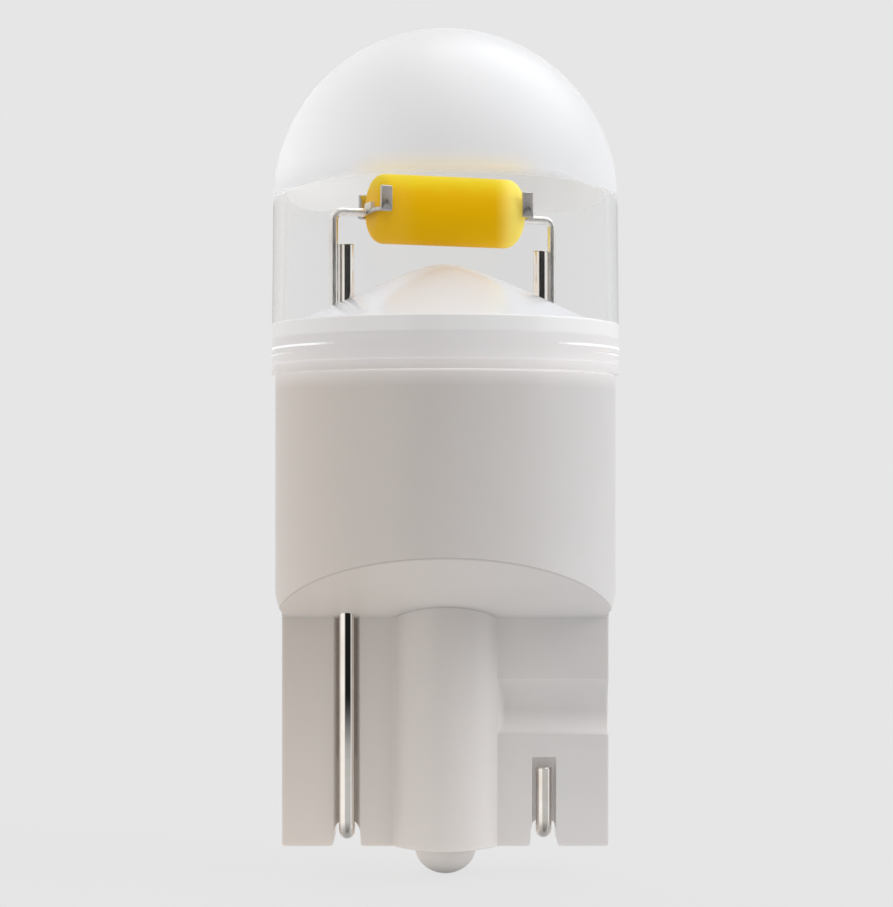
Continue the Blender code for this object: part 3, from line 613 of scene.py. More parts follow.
@dataclass(frozen=True)
class DrawnWire(Finish):
    """Plated wire drawn through a die: mirror bright, with hairline marks along its length.

    Real hairlines are a few thousandths of a millimetre wide, so they are drawn ten times as coarse to show.
    """

    colour: str
    dull_colour: str
    roughness: float
    hairline_mm: float = 0.03
    stain_mm: float = 0.8

    def build(self) -> bpy.types.Material:
        """Make the material."""
        material, tree, place = self.start()
        stretched = add_node(tree, "ShaderNodeMapping", {
            "Vector": place, "Scale": (1.0, 1.0, 0.03)}, vector_type="POINT")
        lines = add_node(tree, "ShaderNodeTexNoise", {
            "Vector": stretched, "Scale": 1.0 / (self.hairline_mm * MM), "Detail": 2.0})
        stains = add_node(tree, "ShaderNodeTexNoise", {
            "Vector": place, "Scale": 1.0 / (self.stain_mm * MM), "Detail": 3.0})
        share = add_node(tree, "ShaderNodeMapRange", {"Value": stains, "From": (0.45, 0.75)})
        colour = add_node(tree, "ShaderNodeMix", {
            0: share, 6: linear(self.colour), 7: linear(self.dull_colour)}, data_type="RGBA")
        gloss = add_node(tree, "ShaderNodeMapRange", {
            "Value": lines, "From": (0.3, 0.7), "To": (self.roughness, self.roughness * 1.5 + 0.01)})
        bump = add_node(tree, "ShaderNodeBump", {"Height": lines, "Distance": 0.0004 * MM, "Strength": 0.3})
        shader = add_node(tree, "ShaderNodeBsdfPrincipled", {
            "Base Color": colour, "Metallic": 1.0, "Roughness": gloss, "Normal": bump})
        self.finish(tree, shader)
        return material


@dataclass(frozen=True)
class PhosphorSilicone(Finish):
    """Silicone loaded with yellow phosphor powder: deep amber low down, turning lemon towards its top.

    A painted highlight pales its right end and a painted glow lights it, most at that end.
    The powder's real clumps are finer, and are drawn coarser to show.
    """

    top_colour: str
    middle_colour: str
    low_colour: str
    painted_highlight_colour: str
    low_z: float
    high_z: float
    powder_mm: float = 0.5
    end_fade: tuple[float, float] = (1.4 * MM, 2.1 * MM)
    painted_highlight_share: float = 0.75
    painted_glow: tuple[float, float] = (0.05, 0.28)

    def build(self) -> bpy.types.Material:
        """Make the material."""
        material, tree, place = self.start()
        height = add_node(tree, "ShaderNodeSeparateXYZ", {"Vector": place})
        powder = add_node(tree, "ShaderNodeTexNoise", {
            "Vector": place, "Scale": 1.0 / (self.powder_mm * MM), "Detail": 4.0})
        wander = add_node(tree, "ShaderNodeMath", {
            0: powder, 1: 0.3 * MM, 2: height.outputs["Z"]}, operation="MULTIPLY_ADD")
        middle_z = (self.low_z + self.high_z) / 2.0
        lower = add_node(tree, "ShaderNodeMapRange", {
            "Value": wander, "From": (self.low_z + 0.1 * MM, middle_z + 0.15 * MM)},
            interpolation_type="SMOOTHSTEP")
        upper = add_node(tree, "ShaderNodeMapRange", {
            "Value": wander, "From": (middle_z + 0.35 * MM, self.high_z + 0.1 * MM)},
            interpolation_type="SMOOTHSTEP")
        deep = add_node(tree, "ShaderNodeMix", {
            0: lower, 6: linear(self.low_colour), 7: linear(self.middle_colour)}, data_type="RGBA")
        colour = add_node(tree, "ShaderNodeMix", {
            0: upper, 6: deep, 7: linear(self.top_colour)}, data_type="RGBA")
        # Painted highlight: the right end turns paler and glows more.
        end = add_node(tree, "ShaderNodeMapRange", {
            "Value": height.outputs["X"], "From": self.end_fade, "To Max": self.painted_highlight_share},
            interpolation_type="SMOOTHSTEP")
        lit = add_node(tree, "ShaderNodeMix", {
            0: end, 6: colour, 7: linear(self.painted_highlight_colour)}, data_type="RGBA")
        painted_glow = add_node(tree, "ShaderNodeMapRange", {"Value": end, "To": self.painted_glow})
        bump = add_node(tree, "ShaderNodeBump", {"Height": powder, "Distance": 0.02 * MM, "Strength": 0.3})
        shader = add_node(tree, "ShaderNodeBsdfPrincipled", {
            "Base Color": lit, "Roughness": 0.45, "IOR": 1.42, "Specular IOR Level": 0.06,
            "Emission Color": lit, "Emission Strength": painted_glow, "Normal": bump})
        self.finish(tree, shader)
        return material


@dataclass(frozen=True)
class SkirtHighlight:
    """A painted highlight line round the cap's skirt: a band of milky, glowing plastic."""

    z: float
    half_height: float
    share: float
    from_x: float
    fade: float = 0.9 * MM


@dataclass(frozen=True)
class ClearCap(Finish):
    """Moulded polycarbonate: a clear sleeve, and a top that the tool's texture frosts to a milky white.

    The frost is on the outer skin only. It starts at frost_z and deepens over front_fade in the middle and
    over edge_fade at the sides. Its grain is drawn three times as coarse as the real one, so that it shows.
    Below joint_z the inner skin lies close against the housing and the cone, so it isn't seen.
    """

    frost_z: float
    edge_fade: float
    centre_z: float
    skin_middle: float
    joint_z: float
    front_fade: float = 0.35 * MM
    side_span: tuple[float, float] = (2.8 * MM, 4.3 * MM)
    # Painted highlight lines round the skirt: milky bands that glow, faded towards the front.
    lines: tuple[SkirtHighlight, ...] = (
        SkirtHighlight(15.4 * MM, 0.03 * MM, 1.0, 2.9 * MM), SkirtHighlight(15.2 * MM, 0.02 * MM, 0.6, 4.1 * MM),
        SkirtHighlight(14.95 * MM, 0.03 * MM, 0.11, -0.9 * MM))
    painted_line_light: float = 0.3
    ior: float = 1.33
    clear_colour: str = "F8F8F8"
    clear_shine: float = 0.35
    milky_colour: str = "F9FAFD"
    painted_warm_colour: str = "FFF0CC"
    painted_glow_colour: str = "FFD88A"
    painted_glow_strength: float = 0.1
    warm_rise: float = 0.9 * MM
    warm_span: tuple[float, float] = (2.9 * MM, 1.6 * MM)
    painted_left_light: float = 0.075
    left_span: tuple[float, float] = (-0.3 * MM, -4.6 * MM)
    left_rise: tuple[float, float] = (0.1 * MM, 0.7 * MM)
    grain_mm: float = 0.06
    relief_mm: float = 0.001

    def build(self) -> bpy.types.Material:
        """Make the material."""
        material, tree, place = self.start()
        across = add_node(tree, "ShaderNodeSeparateXYZ", {"Vector": place})
        x, y, z = across.outputs
        aside = add_node(tree, "ShaderNodeMath", {0: x}, operation="ABSOLUTE")
        outside = self.outer_skin(tree, x, y, z)
        matt = self.matt(tree, aside, z)
        frost = add_node(tree, "ShaderNodeMath", {0: matt, 1: outside}, operation="MULTIPLY")
        below = add_node(tree, "ShaderNodeMath", {0: z, 1: self.joint_z}, operation="LESS_THAN")
        clear = add_node(tree, "ShaderNodeBsdfPrincipled", {
            "Base Color": linear(self.clear_colour), "Roughness": 0.01, "IOR": self.ior,
            "Transmission Weight": 1.0, "Specular Tint": (self.clear_shine,) * 3 + (1.0,)})
        milky = self.milky(tree, place, across, aside, below)
        body = add_node(tree, "ShaderNodeMixShader", {0: frost, 1: clear, 2: milky})
        path = add_node(tree, "ShaderNodeLightPath")
        passes = add_node(tree, "ShaderNodeMath", {
            0: path.outputs["Is Shadow Ray"], 1: path.outputs["Is Diffuse Ray"]}, operation="MAXIMUM")
        wetted = add_node(tree, "ShaderNodeMath", {0: below, 1: outside}, operation="GREATER_THAN")
        clear_way = add_node(tree, "ShaderNodeMath", {0: passes, 1: wetted}, operation="MAXIMUM")
        through = add_node(tree, "ShaderNodeBsdfTransparent", {"Color": linear("FFFFFF")})
        shown = add_node(tree, "ShaderNodeMixShader", {0: clear_way, 1: body, 2: through})
        self.finish(tree, shown)
        return material

    def outer_skin(self, tree: bpy.types.NodeTree, x: bpy.types.NodeSocket, y: bpy.types.NodeSocket,
                   z: bpy.types.NodeSocket) -> bpy.types.Node:
        """Tell the outer skin from the inner one by its distance from the axis, or from the dome's centre.

        Args:
            tree: the material's nodes.
            x: place across.
            y: place in depth.
            z: height.

        Returns:
            Node that gives 1 on the outer skin and 0 on the inner one.
        """
        raised = add_node(tree, "ShaderNodeMath", {0: z, 1: self.centre_z}, operation="SUBTRACT")
        above = add_node(tree, "ShaderNodeMath", {0: raised, 1: 0.0}, operation="MAXIMUM")
        spoke = add_node(tree, "ShaderNodeCombineXYZ", {"X": x, "Y": y, "Z": above})
        away = add_node(tree, "ShaderNodeVectorMath", {0: spoke}, operation="LENGTH")
        return add_node(tree, "ShaderNodeMath", {0: away, 1: self.skin_middle}, operation="GREATER_THAN")

    def matt(self, tree: bpy.types.NodeTree, aside: bpy.types.Node,
             z: bpy.types.NodeSocket) -> bpy.types.Node:
        """Share of milky plastic: the frosted top, and the painted highlight lines round the skirt
        that fade to the front.

        Args:
            tree: the material's nodes.
            aside: node of the distance from the middle plane.
            z: height.

        Returns:
            Node of the share.
        """
        fade = add_node(tree, "ShaderNodeMapRange", {
            "Value": aside, "From": self.side_span, "To": (self.front_fade, self.edge_fade)},
            interpolation_type="SMOOTHSTEP")
        full = add_node(tree, "ShaderNodeMath", {0: self.frost_z, 1: fade}, operation="ADD")
        share = add_node(tree, "ShaderNodeMapRange", {
            "Value": z, "From": (self.frost_z, full)}, interpolation_type="SMOOTHSTEP")
        for line in self.lines:
            band = add_node(tree, "ShaderNodeMath", {
                0: z, 1: line.z, 2: line.half_height}, operation="COMPARE")
            reach = add_node(tree, "ShaderNodeMapRange", {
                "Value": aside, "From": (line.from_x, line.from_x + line.fade), "To Max": line.share},
                interpolation_type="SMOOTHSTEP")
            share = add_node(tree, "ShaderNodeMath", {
                0: band, 1: reach, 2: share}, operation="MULTIPLY_ADD")
        return share

    def milky(self, tree: bpy.types.NodeTree, place: bpy.types.NodeSocket, across: bpy.types.Node,
              aside: bpy.types.Node, below: bpy.types.Node) -> bpy.types.Node:
        """Milky plastic with painted light: a warm glow over the light source, on its left and in the lines.

        Args:
            tree: the material's nodes.
            place: object coordinates.
            across: node with the separate coordinates.
            aside: node of the distance from the middle plane.
            below: node that gives 1 below the joint.

        Returns:
            Node of the shader.
        """
        z = across.outputs["Z"]
        # Painted light: a warm tint and glow on the milky top just over the light source.
        over = add_node(tree, "ShaderNodeMapRange", {
            "Value": z, "From": (self.frost_z + self.warm_rise, self.frost_z)},
            interpolation_type="SMOOTHSTEP")
        middle = add_node(tree, "ShaderNodeMapRange", {
            "Value": aside, "From": self.warm_span}, interpolation_type="SMOOTHSTEP")
        near = add_node(tree, "ShaderNodeMath", {0: over, 1: below}, operation="SUBTRACT")
        warm = add_node(tree, "ShaderNodeMath", {0: near, 1: middle}, operation="MULTIPLY")
        colour = add_node(tree, "ShaderNodeMix", {
            0: warm, 6: linear(self.milky_colour), 7: linear(self.painted_warm_colour)}, data_type="RGBA")
        # Painted light: a glow on the left of the milky top.
        left = add_node(tree, "ShaderNodeMapRange", {
            "Value": across.outputs["X"], "From": self.left_span, "To Max": self.painted_left_light},
            interpolation_type="SMOOTHSTEP")
        upper = add_node(tree, "ShaderNodeMapRange", {
            "Value": z, "From": (self.frost_z + self.left_rise[0], self.frost_z + self.left_rise[1])})
        painted_left_glow = add_node(tree, "ShaderNodeMath", {0: left, 1: upper}, operation="MULTIPLY")
        painted_top_glow = add_node(tree, "ShaderNodeMath", {
            0: warm, 1: self.painted_glow_strength, 2: painted_left_glow}, operation="MULTIPLY_ADD")
        # Painted light: the skirt's highlight lines glow below the joint.
        painted_glow = add_node(tree, "ShaderNodeMath", {
            0: below, 1: self.painted_line_light, 2: painted_top_glow}, operation="MULTIPLY_ADD")
        shine_colour = add_node(tree, "ShaderNodeMix", {
            0: warm, 6: linear("FFFFFF"), 7: linear(self.painted_glow_colour)}, data_type="RGBA")
        grain = add_node(tree, "ShaderNodeTexNoise", {
            "Vector": place, "Scale": 1.0 / (self.grain_mm * MM), "Detail": 2.0})
        bump = add_node(tree, "ShaderNodeBump", {
            "Height": grain, "Distance": self.relief_mm * MM, "Strength": 0.5})
        return add_node(tree, "ShaderNodeBsdfPrincipled", {
            "Base Color": colour, "Roughness": 0.3, "IOR": self.ior, "Transmission Weight": 0.42,
            "Emission Color": shine_colour, "Emission Strength": painted_glow, "Normal": bump})


@dataclass(frozen=True)
class BoardMask(Finish):
    """Fibreglass board under solder mask: the glass weave shows through the green as a faint check."""

    colour: str
    thread_mm: float = 0.35

    def build(self) -> bpy.types.Material:
        """Make the material."""
        material, tree, place = self.start()
        weave = add_node(tree, "ShaderNodeTexChecker", {
            "Vector": place, "Scale": 1.0 / (self.thread_mm * MM), "Color1": (0.9, 0.9, 0.9, 1.0)})
        haze = add_node(tree, "ShaderNodeTexNoise", {
            "Vector": place, "Scale": 1.0 / (1.2 * MM), "Detail": 3.0})
        share = add_node(tree, "ShaderNodeMapRange", {"Value": weave.outputs["Fac"], "To": (0.0, 0.12)})
        colour = add_node(tree, "ShaderNodeMix", {
            0: share, 6: linear(self.colour), 7: linear("5E9C6A")}, data_type="RGBA")
        gloss = add_node(tree, "ShaderNodeMapRange", {"Value": haze, "To": (0.22, 0.42)})
        shader = add_node(tree, "ShaderNodeBsdfPrincipled", {
            "Base Color": colour, "Roughness": gloss, "IOR": 1.5})
        self.finish(tree, shader)
        return material


# Painted light: the housing turns a lighter colour from 14.2 mm up, round its neck.
NYLON = MouldedPlastic("moulded_white_nylon", "D9D6D5", "D7D4D3", 0.33, glow=0.1, warm_side="D9D0C8",
                       painted_light_colour="F8F4F3", marks=HousingPaintedLightAndShade(math.tan(RAMP_ANGLE), 7.216 * MM))
# Painted light: the reflector's flange and plug are a lighter white than its cone.
BELL_WHITE = MouldedPlastic("moulded_gloss_white_polycarbonate", "F1F3F8", "F0F2F7", 0.16, grain_mm=0.2,
                            relief_mm=0.0004, ior=1.58, painted_light_colour="FEFDFC",
                            painted_light_span=(16.2 * MM, 16.15 * MM))
CONTACT_PLATE = DrawnWire("drawn_nickel_plated_brass_wire", "F4F0EA", "EAE3DA", 0.02)
LEAD_PLATE = DrawnWire("drawn_tinned_copper_wire", "F0EEEB", "E4E0DB", 0.22, hairline_mm=0.02)
CLIP_STEEL = DrawnWire("stamped_nickel_plated_steel", "C4C2C0", "B4B1AE", 0.14, hairline_mm=0.04)
ALUMINA = MouldedPlastic("pressed_alumina_ceramic", "EDE9DE", "E4DFD2", 0.42, grain_mm=0.05, ior=1.7)
SAPPHIRE = MouldedPlastic("sawn_sapphire_chip", "A9B6D6", "9AA8CC", 0.12, grain_mm=0.08, ior=1.76)
EPOXY = MouldedPlastic("moulded_black_epoxy", "26262A", "2E2E31", 0.5, grain_mm=0.05, relief_mm=0.002)
TIN = DrawnWire("reflowed_tin_solder", "D8D8DA", "BDBDC2", 0.22, hairline_mm=0.15)
MASK = BoardMask("solder_masked_fibreglass", "1E6B3A")


@dataclass
class WedgeHousing:
    """The one-piece white moulding: round body, sloped shoulders, flat blade with its boss, and foot pip.

    A spacing of the blade's grid gives its plain step, how far fine steps reach round each edge, and the fine
    step. The rows at the foot give their height and step, and those at the root their two heights and step.
    """

    pip_radius: float = 0.9 * MM
    foot_z: float = 0.95 * MM
    pip_dome: float = 0.78 * MM
    blade_width: float = 9.5 * MM
    panel_y: float = 0.93 * MM
    blade_height: float = 6.69 * MM
    blade_corner: float = 0.1 * MM
    edge: float = 0.05 * MM
    boss_radius: float = 1.77 * MM
    body_radius: float = 5.0 * MM
    body_height: float = 7.02 * MM
    body_edge: float = 0.06 * MM
    ramp_angle: float = RAMP_ANGLE
    relief_angle: float = math.radians(26.6)
    relief_rise: float = 0.15 * MM
    fillet: float = 0.08 * MM
    neck_step: float = 0.25 * MM
    neck_height: float = 1.05 * MM
    mouth_radius: float = 4.05 * MM
    ledge_radius: float = 3.5 * MM
    ledge_depth: float = 2.81 * MM
    cavity_depth: float = 5.4 * MM
    snap_height: float = 0.52 * MM
    wire_x: float = 2.865 * MM
    groove_width: float = 0.74 * MM
    groove_y: float = 0.67 * MM
    notch_width: float = 0.79 * MM
    notch_height: float = 0.75 * MM
    notch_corner: float = 0.1 * MM
    slot_width: float = 0.65 * MM
    slot_y: float = 0.45 * MM
    slot_top: float = 3.52 * MM
    detent_z: float = 5.0 * MM
    detent_depth: float = 0.33 * MM
    detent_radius: float = 1.15 * MM
    body_columns: int = 256
    hollow_soft: float = 0.012 * MM
    wall_soft: float = 0.025 * MM
    column_spacing: tuple[float, float, float] = (0.12 * MM, 0.054 * MM, 0.018 * MM)
    row_spacing: tuple[float, float, float] = (0.13 * MM, 0.048 * MM, 0.016 * MM)
    foot_rows: tuple[float, float] = (0.9 * MM, 0.03 * MM)
    root_rows: tuple[float, float, float] = (-0.2 * MM, 0.55 * MM, 0.018 * MM)
    root_z: float = field(init=False)
    shoulder_z: float = field(init=False)
    neck_top_z: float = field(init=False)

    def __post_init__(self) -> None:
        """Work out the heights that follow from the sizes."""
        self.root_z = self.foot_z + self.blade_height
        self.shoulder_z = self.root_z + self.body_height
        self.neck_top_z = self.shoulder_z + self.neck_height

    def underside(self, x: Points, y: Points) -> Points:
        """Height of the body's underside: the higher of the two sloped planes that rise from the blade."""
        ramp = self.root_z + math.tan(self.ramp_angle) * (np.abs(y) - self.panel_y)
        relief = self.root_z + self.relief_rise + (np.abs(x) - self.blade_width / 2.0) / math.tan(
            self.relief_angle)
        return np.maximum(np.maximum(ramp, relief), self.root_z - self.fillet)

    def body(self) -> Shell:
        """Body skin on a polar grid: out under the body, up the wall, over the neck and into the hollow.

        Returns:
            The closed skin.
        """
        angles = np.linspace(0.0, 2.0 * math.pi, self.body_columns, endpoint=False)
        circle = np.stack((np.cos(angles), np.sin(angles)), axis=-1)
        rim = self.edge
        bottom_radii = np.concatenate((np.linspace(0.0, 0.9 * self.body_radius, 36),
                                       np.linspace(0.91 * self.body_radius, self.body_radius - 2.0 * rim, 16),
                                       self.body_radius - rim * np.array((1.4, 1.0, 0.35))))
        x, y = (bottom_radii[:, None] * circle[None, :, axis] for axis in (0, 1))
        lift = np.zeros(len(bottom_radii))
        lift[-1] = 0.3 * rim
        under = np.stack((x, y, self.underside(x, y) + lift[:, None]), axis=-1)
        low = self.underside(self.body_radius * circle[:, 0], self.body_radius * circle[:, 1]) + rim
        high = self.shoulder_z - self.body_edge
        shares = np.concatenate(([0.0, 0.006], np.linspace(0.0, 1.0, 14)[1:-1], [0.994, 1.0]))[:, None]
        wall_z = low[None] * (1.0 - shares) + high * shares
        wall_x, wall_y = (np.broadcast_to(self.body_radius * circle[:, axis], wall_z.shape)
                          for axis in (0, 1))
        wall = np.stack((wall_x, wall_y, wall_z), axis=-1)
        radii, heights = self.upper_profile()
        upper = np.stack((radii[:, None] * circle[None, :, 0], radii[:, None] * circle[None, :, 1],
                          np.broadcast_to(heights[:, None], (len(heights), len(circle)))), axis=-1)
        return shell(np.concatenate((under, wall, upper)), wrap_columns=True)

    def upper_profile(self) -> tuple[Points, Points]:
        """Profile from the shoulder's rounded edge over the neck and down into the hollow.

        Returns:
            Radii and heights.
        """
        neck = self.body_radius - self.neck_step
        edge_turn = np.linspace(0.0, math.pi / 2.0, 5)[1:]
        edge = np.stack((self.body_radius - self.body_edge * (1.0 - np.cos(edge_turn)),
                         self.shoulder_z - self.body_edge * (1.0 - np.sin(edge_turn))), axis=-1)
        groove = snap_wave(neck, self.shoulder_z + self.snap_height)
        floor_z = self.neck_top_z - self.cavity_depth
        ledge_z = self.neck_top_z - self.ledge_depth
        inside = rounded_profile([
            (neck, groove[-1, 1] + self.body_edge, 0.0), (neck, self.neck_top_z, 0.0),
            (self.mouth_radius, self.neck_top_z, self.body_edge), (self.mouth_radius, ledge_z, 0.0),
            (self.ledge_radius, ledge_z, 0.0), (self.ledge_radius, floor_z, 0.0), (0.0, floor_z, 0.0)])
        line = np.concatenate((edge, [(neck, self.shoulder_z)], groove, inside))
        line = supported(line, 1.0 * MM, 0.02 * MM)
        return line[:, 0], line[:, 1]

    def lower_edge(self, x: Points) -> Points:
        """Height of the blade's lower edge: rounded corners at its sides and an arch over each wire."""
        corner = self.blade_corner
        side = np.clip(self.blade_width / 2.0 - np.abs(x), 0.0, corner)
        base = self.foot_z + corner - np.sqrt(corner ** 2 - (corner - side) ** 2)
        half = self.notch_width / 2.0
        away = np.abs(np.abs(x) - self.wire_x)
        arch = self.foot_z + self.notch_height - half + np.sqrt(np.maximum(half ** 2 - away ** 2, 0.0))
        flare = np.clip(away - half, 0.0, self.notch_corner)
        round_z = self.foot_z + self.notch_corner - np.sqrt(
            np.maximum(self.notch_corner ** 2 - (self.notch_corner - flare) ** 2, 0.0))
        return np.where(away < half, arch, np.maximum(base, round_z))

    def face_depth(self, x: Points, z: Points) -> Points:
        """Distance of the front face from the blade's mid-plane over (x, z).

        The flat panel, cut by the wire groove on the left and by the tail slot and the detent on the right,
        meets the round boss in a small hollow: the larger of the two, smoothed by half the root of their
        squared difference plus a small square. At the root it flares out along a quarter fillet.

        Args:
            x: place across the blade.
            z: height.

        Returns:
            The depth at each point.
        """
        soft = self.wall_soft
        in_groove = 1.0 - smooth_step(np.abs(x + self.wire_x), self.groove_width * 0.27,
                                      self.groove_width * 0.54)
        in_slot = 1.0 - smooth_step(np.abs(x - self.wire_x), self.slot_width / 2.0 - soft / 2.0,
                                    self.slot_width / 2.0 + soft)
        in_slot = in_slot * (1.0 - smooth_step(z, self.slot_top - soft / 2.0, self.slot_top + soft))
        arch = np.sqrt(np.maximum(self.detent_radius ** 2 - (z - self.detent_z) ** 2, 0.0))
        scooped = self.panel_y - self.detent_depth + self.detent_radius - arch
        panel = np.where(x > 0.0, np.minimum(self.panel_y, scooped), self.panel_y)
        panel = panel + (self.groove_y - panel) * in_groove
        panel = panel + (self.slot_y - panel) * in_slot
        boss = np.sqrt(np.maximum(self.boss_radius ** 2 - x ** 2, 0.0))
        depth = 0.5 * (panel + boss + np.sqrt((panel - boss) ** 2 + self.hollow_soft ** 2))
        slope = math.tan(self.ramp_angle)
        start = self.root_z + slope * (depth - self.panel_y) + slope * self.fillet
        start = start - self.fillet / math.cos(self.ramp_angle)
        climb = np.clip(z - start, 0.0, self.fillet * math.cos(self.ramp_angle))
        return depth + self.fillet - np.sqrt(self.fillet ** 2 - climb ** 2)

    def blade(self) -> Shell:
        """Blade skin: rows run down the front face and up the back, and its two side edges close it.

        Every row's height is the larger of the row's own and the lower edge at that column, which draws the
        notches. A face stands back near its outline by e less the root of e squared less (e - d) squared.

        Returns:
            The closed skin.
        """
        half = self.blade_width / 2.0
        boss_x = math.sqrt(self.boss_radius ** 2 - self.panel_y ** 2)
        marks = [boss_x, self.boss_radius, self.wire_x - self.groove_width / 2.0,
                 self.wire_x + self.groove_width / 2.0, self.wire_x - self.slot_width / 2.0,
                 self.wire_x + self.slot_width / 2.0, self.wire_x - self.notch_width / 2.0,
                 self.wire_x + self.notch_width / 2.0, half]
        spacing, reach, fine = self.column_spacing
        x = graded(-half, half, spacing, marks + [-mark for mark in marks], reach, fine)
        chord = math.sqrt(self.detent_radius ** 2 - (self.detent_radius - self.detent_depth) ** 2)
        low_marks = [self.slot_top, self.detent_z - chord, self.detent_z + chord]
        spacing, reach, fine = self.row_spacing
        below, above, step = self.root_rows
        z_low = graded(self.foot_z, self.root_z + below, spacing, low_marks, reach, fine)
        z_foot = np.arange(self.foot_z, self.foot_z + self.foot_rows[0], self.foot_rows[1])
        z_root = np.arange(self.root_z + below, self.root_z + above, step)
        rows = np.unique(np.concatenate((z_foot, z_low[z_low > z_foot[-1] + 0.01 * MM], z_root)))[::-1]
        edge_z = self.lower_edge(x)
        z = np.maximum(rows[:, None], edge_z[None])
        side = np.minimum(half - np.abs(x)[None], z - edge_z[None])
        inset = self.edge - np.sqrt(self.edge ** 2 - (self.edge - np.clip(side, 0.0, self.edge)) ** 2)
        across = np.broadcast_to(x[None], z.shape)
        front = np.stack((across, inset - self.face_depth(across, z), z), axis=-1)
        back = np.stack((across, self.face_depth(-across, z) - inset, z), axis=-1)[::-1]
        sheet = np.concatenate((front, back))
        flat = sheet * (1.0, 0.0, 1.0)
        return shell(np.concatenate((flat[:, :1], sheet, flat[:, -1:]), axis=1), wrap_rows=True)

    def pip(self) -> Shell:
        """Foot pip: a quarter oval turned round the axis, with its top hidden in the boss."""
        turn = np.linspace(-math.pi / 2.0, 0.0, 14)
        top = self.foot_z + self.pip_radius / 2.0
        radii = np.concatenate((self.pip_radius * np.cos(turn), (self.pip_radius, 0.0)))
        heights = np.concatenate((self.pip_dome * (1.0 + np.sin(turn)), (top, top)))
        radii[0] = 0.0
        return turned_shell(radii, heights, 64)

    def build(self) -> None:
        """Make the housing piece."""
        make_piece("housing_moulding", [self.body(), self.blade(), self.pip()], NYLON.build(),
                   ("wedge_housing",), crease=50.0)


@dataclass
class ReflectorBell:
    """Glossy white insert in the housing's mouth: a cone that rounds over at its crown, and its flange."""

    base_z: float
    neck_radius: float = 4.75 * MM
    cone_radius: float = 4.45 * MM
    flange: float = 0.46 * MM
    cone_height: float = 1.78 * MM
    crown_radius: float = 0.85 * MM
    wall: float = 0.55 * MM
    plug_outer: float = 4.0 * MM
    plug_inner: float = 3.64 * MM
    plug_length: float = 0.8 * MM
    edge: float = 0.06 * MM

    def surface(self, radius: Points) -> Points:
        """Height of the cone: a hyperbola, root of (r squared plus crown squared), less the crown radius."""
        rise = np.hypot(radius, self.crown_radius) - self.crown_radius
        full = math.hypot(self.cone_radius, self.crown_radius) - self.crown_radius
        return self.base_z + self.flange + self.cone_height * (1.0 - rise / full)

    def build(self) -> None:
        """Make the reflector piece."""
        radii = np.linspace(0.0, self.cone_radius, 60)
        inner = np.linspace(self.plug_inner, 0.0, 24)
        top = self.base_z + self.flange
        rim = rounded_profile([
            (self.cone_radius, top, 0.0), (self.neck_radius, top, self.edge),
            (self.neck_radius, self.base_z, 0.0), (self.plug_outer, self.base_z, 0.0),
            (self.plug_outer, self.base_z - self.plug_length, 0.0),
            (self.plug_inner, self.base_z - self.plug_length, 0.0),
            (self.plug_inner, float(self.surface(inner[:1])[0]) - self.wall, 0.0)])
        rim = supported(rim, 1.0 * MM, 0.02 * MM)
        profile_r = np.concatenate((radii[:-1], rim[:, 0], inner[1:]))
        profile_z = np.concatenate((self.surface(radii[:-1]), rim[:, 1], self.surface(inner[1:]) - self.wall))
        make_piece("reflector_bell", [turned_shell(profile_r, profile_z, 192)], BELL_WHITE.build(),
                   ("reflector_insert",), crease=50.0)


@dataclass
class SnapCap:
    """Cap of clear polycarbonate: a sleeve with a snap bead in its skirt, and a frosted round top."""

    base_z: float
    bore: float = 4.79 * MM
    skirt: float = 5.11 * MM
    dome: float = 5.06 * MM
    inner: float = 4.72 * MM
    straight: float = 5.075 * MM
    snap_z: float = 15.18 * MM
    taper_z: float = 16.17 * MM
    edge: float = 0.02 * MM
    frost_z: float = 19.84 * MM

    def build(self) -> None:
        """Make the cap piece from one profile: outer skin down from the crown, inner skin back up."""
        tangent = self.base_z + self.straight
        turn = np.linspace(math.pi / 2.0, 0.0, 72)
        outer, inner = (np.stack((radius * np.cos(turn), tangent + radius * np.sin(turn)), axis=-1)
                        for radius in (self.dome, self.inner))
        bead = snap_wave(self.bore, self.snap_z, 0.006 * MM)
        rim = rounded_profile([(self.dome, tangent, 0.0), (self.skirt, self.base_z, self.edge),
                               (self.bore, self.base_z, self.edge), tuple(bead[0]) + (0.0,)])
        line = np.concatenate((outer, rim[1:-1], bead, [(self.bore, self.taper_z)], inner[::-1]))
        line[0, 0] = line[-1, 0] = 0.0
        line = supported(line, 0.5 * MM, 0.02 * MM)
        radii, heights = line[:, 0], line[:, 1]
        material = ClearCap("moulded_clear_polycarbonate", frost_z=self.frost_z, edge_fade=0.05 * MM,
                            centre_z=tangent, skin_middle=(self.dome + self.inner) / 2.0,
                            joint_z=self.taper_z - 0.02 * MM).build()
        make_piece("cap_shell", [turned_shell(radii, heights, 224)], material,
                   ("dome_lens",), crease=40.0)


@dataclass
class ContactWires:
    """Two plated wires down the blade, bent under it through the notches and up the other face."""

    foot_z: float
    top_z: float
    radius: float = 0.23 * MM
    wire_x: float = -2.865 * MM
    front_y: float = -0.94 * MM
    tail_y: float = 0.72 * MM
    lift: float = 0.17 * MM
    tail_height: float = 2.29 * MM
    bend: float = 0.35 * MM

    def build(self) -> None:
        """Make the left and the right wire."""
        run_z = self.foot_z + self.lift + self.radius
        corners = [(self.wire_x, self.front_y, self.top_z), (self.wire_x, self.front_y, run_z),
                   (self.wire_x, self.tail_y, run_z),
                   (self.wire_x, self.tail_y, self.foot_z + self.tail_height)]
        skin = carried_shell(rounded_route(corners, self.bend, 14), round_section(self.radius, 40),
                             (1.0, 0.0, 0.0), cut_ends(self.radius, 0.04 * MM))
        material = CONTACT_PLATE.build()
        for side, turn in SIDES:
            make_piece(f"contact_pin_{side}", [placed(skin, turn)], material,
                       (f"contact_wire_{side}",))


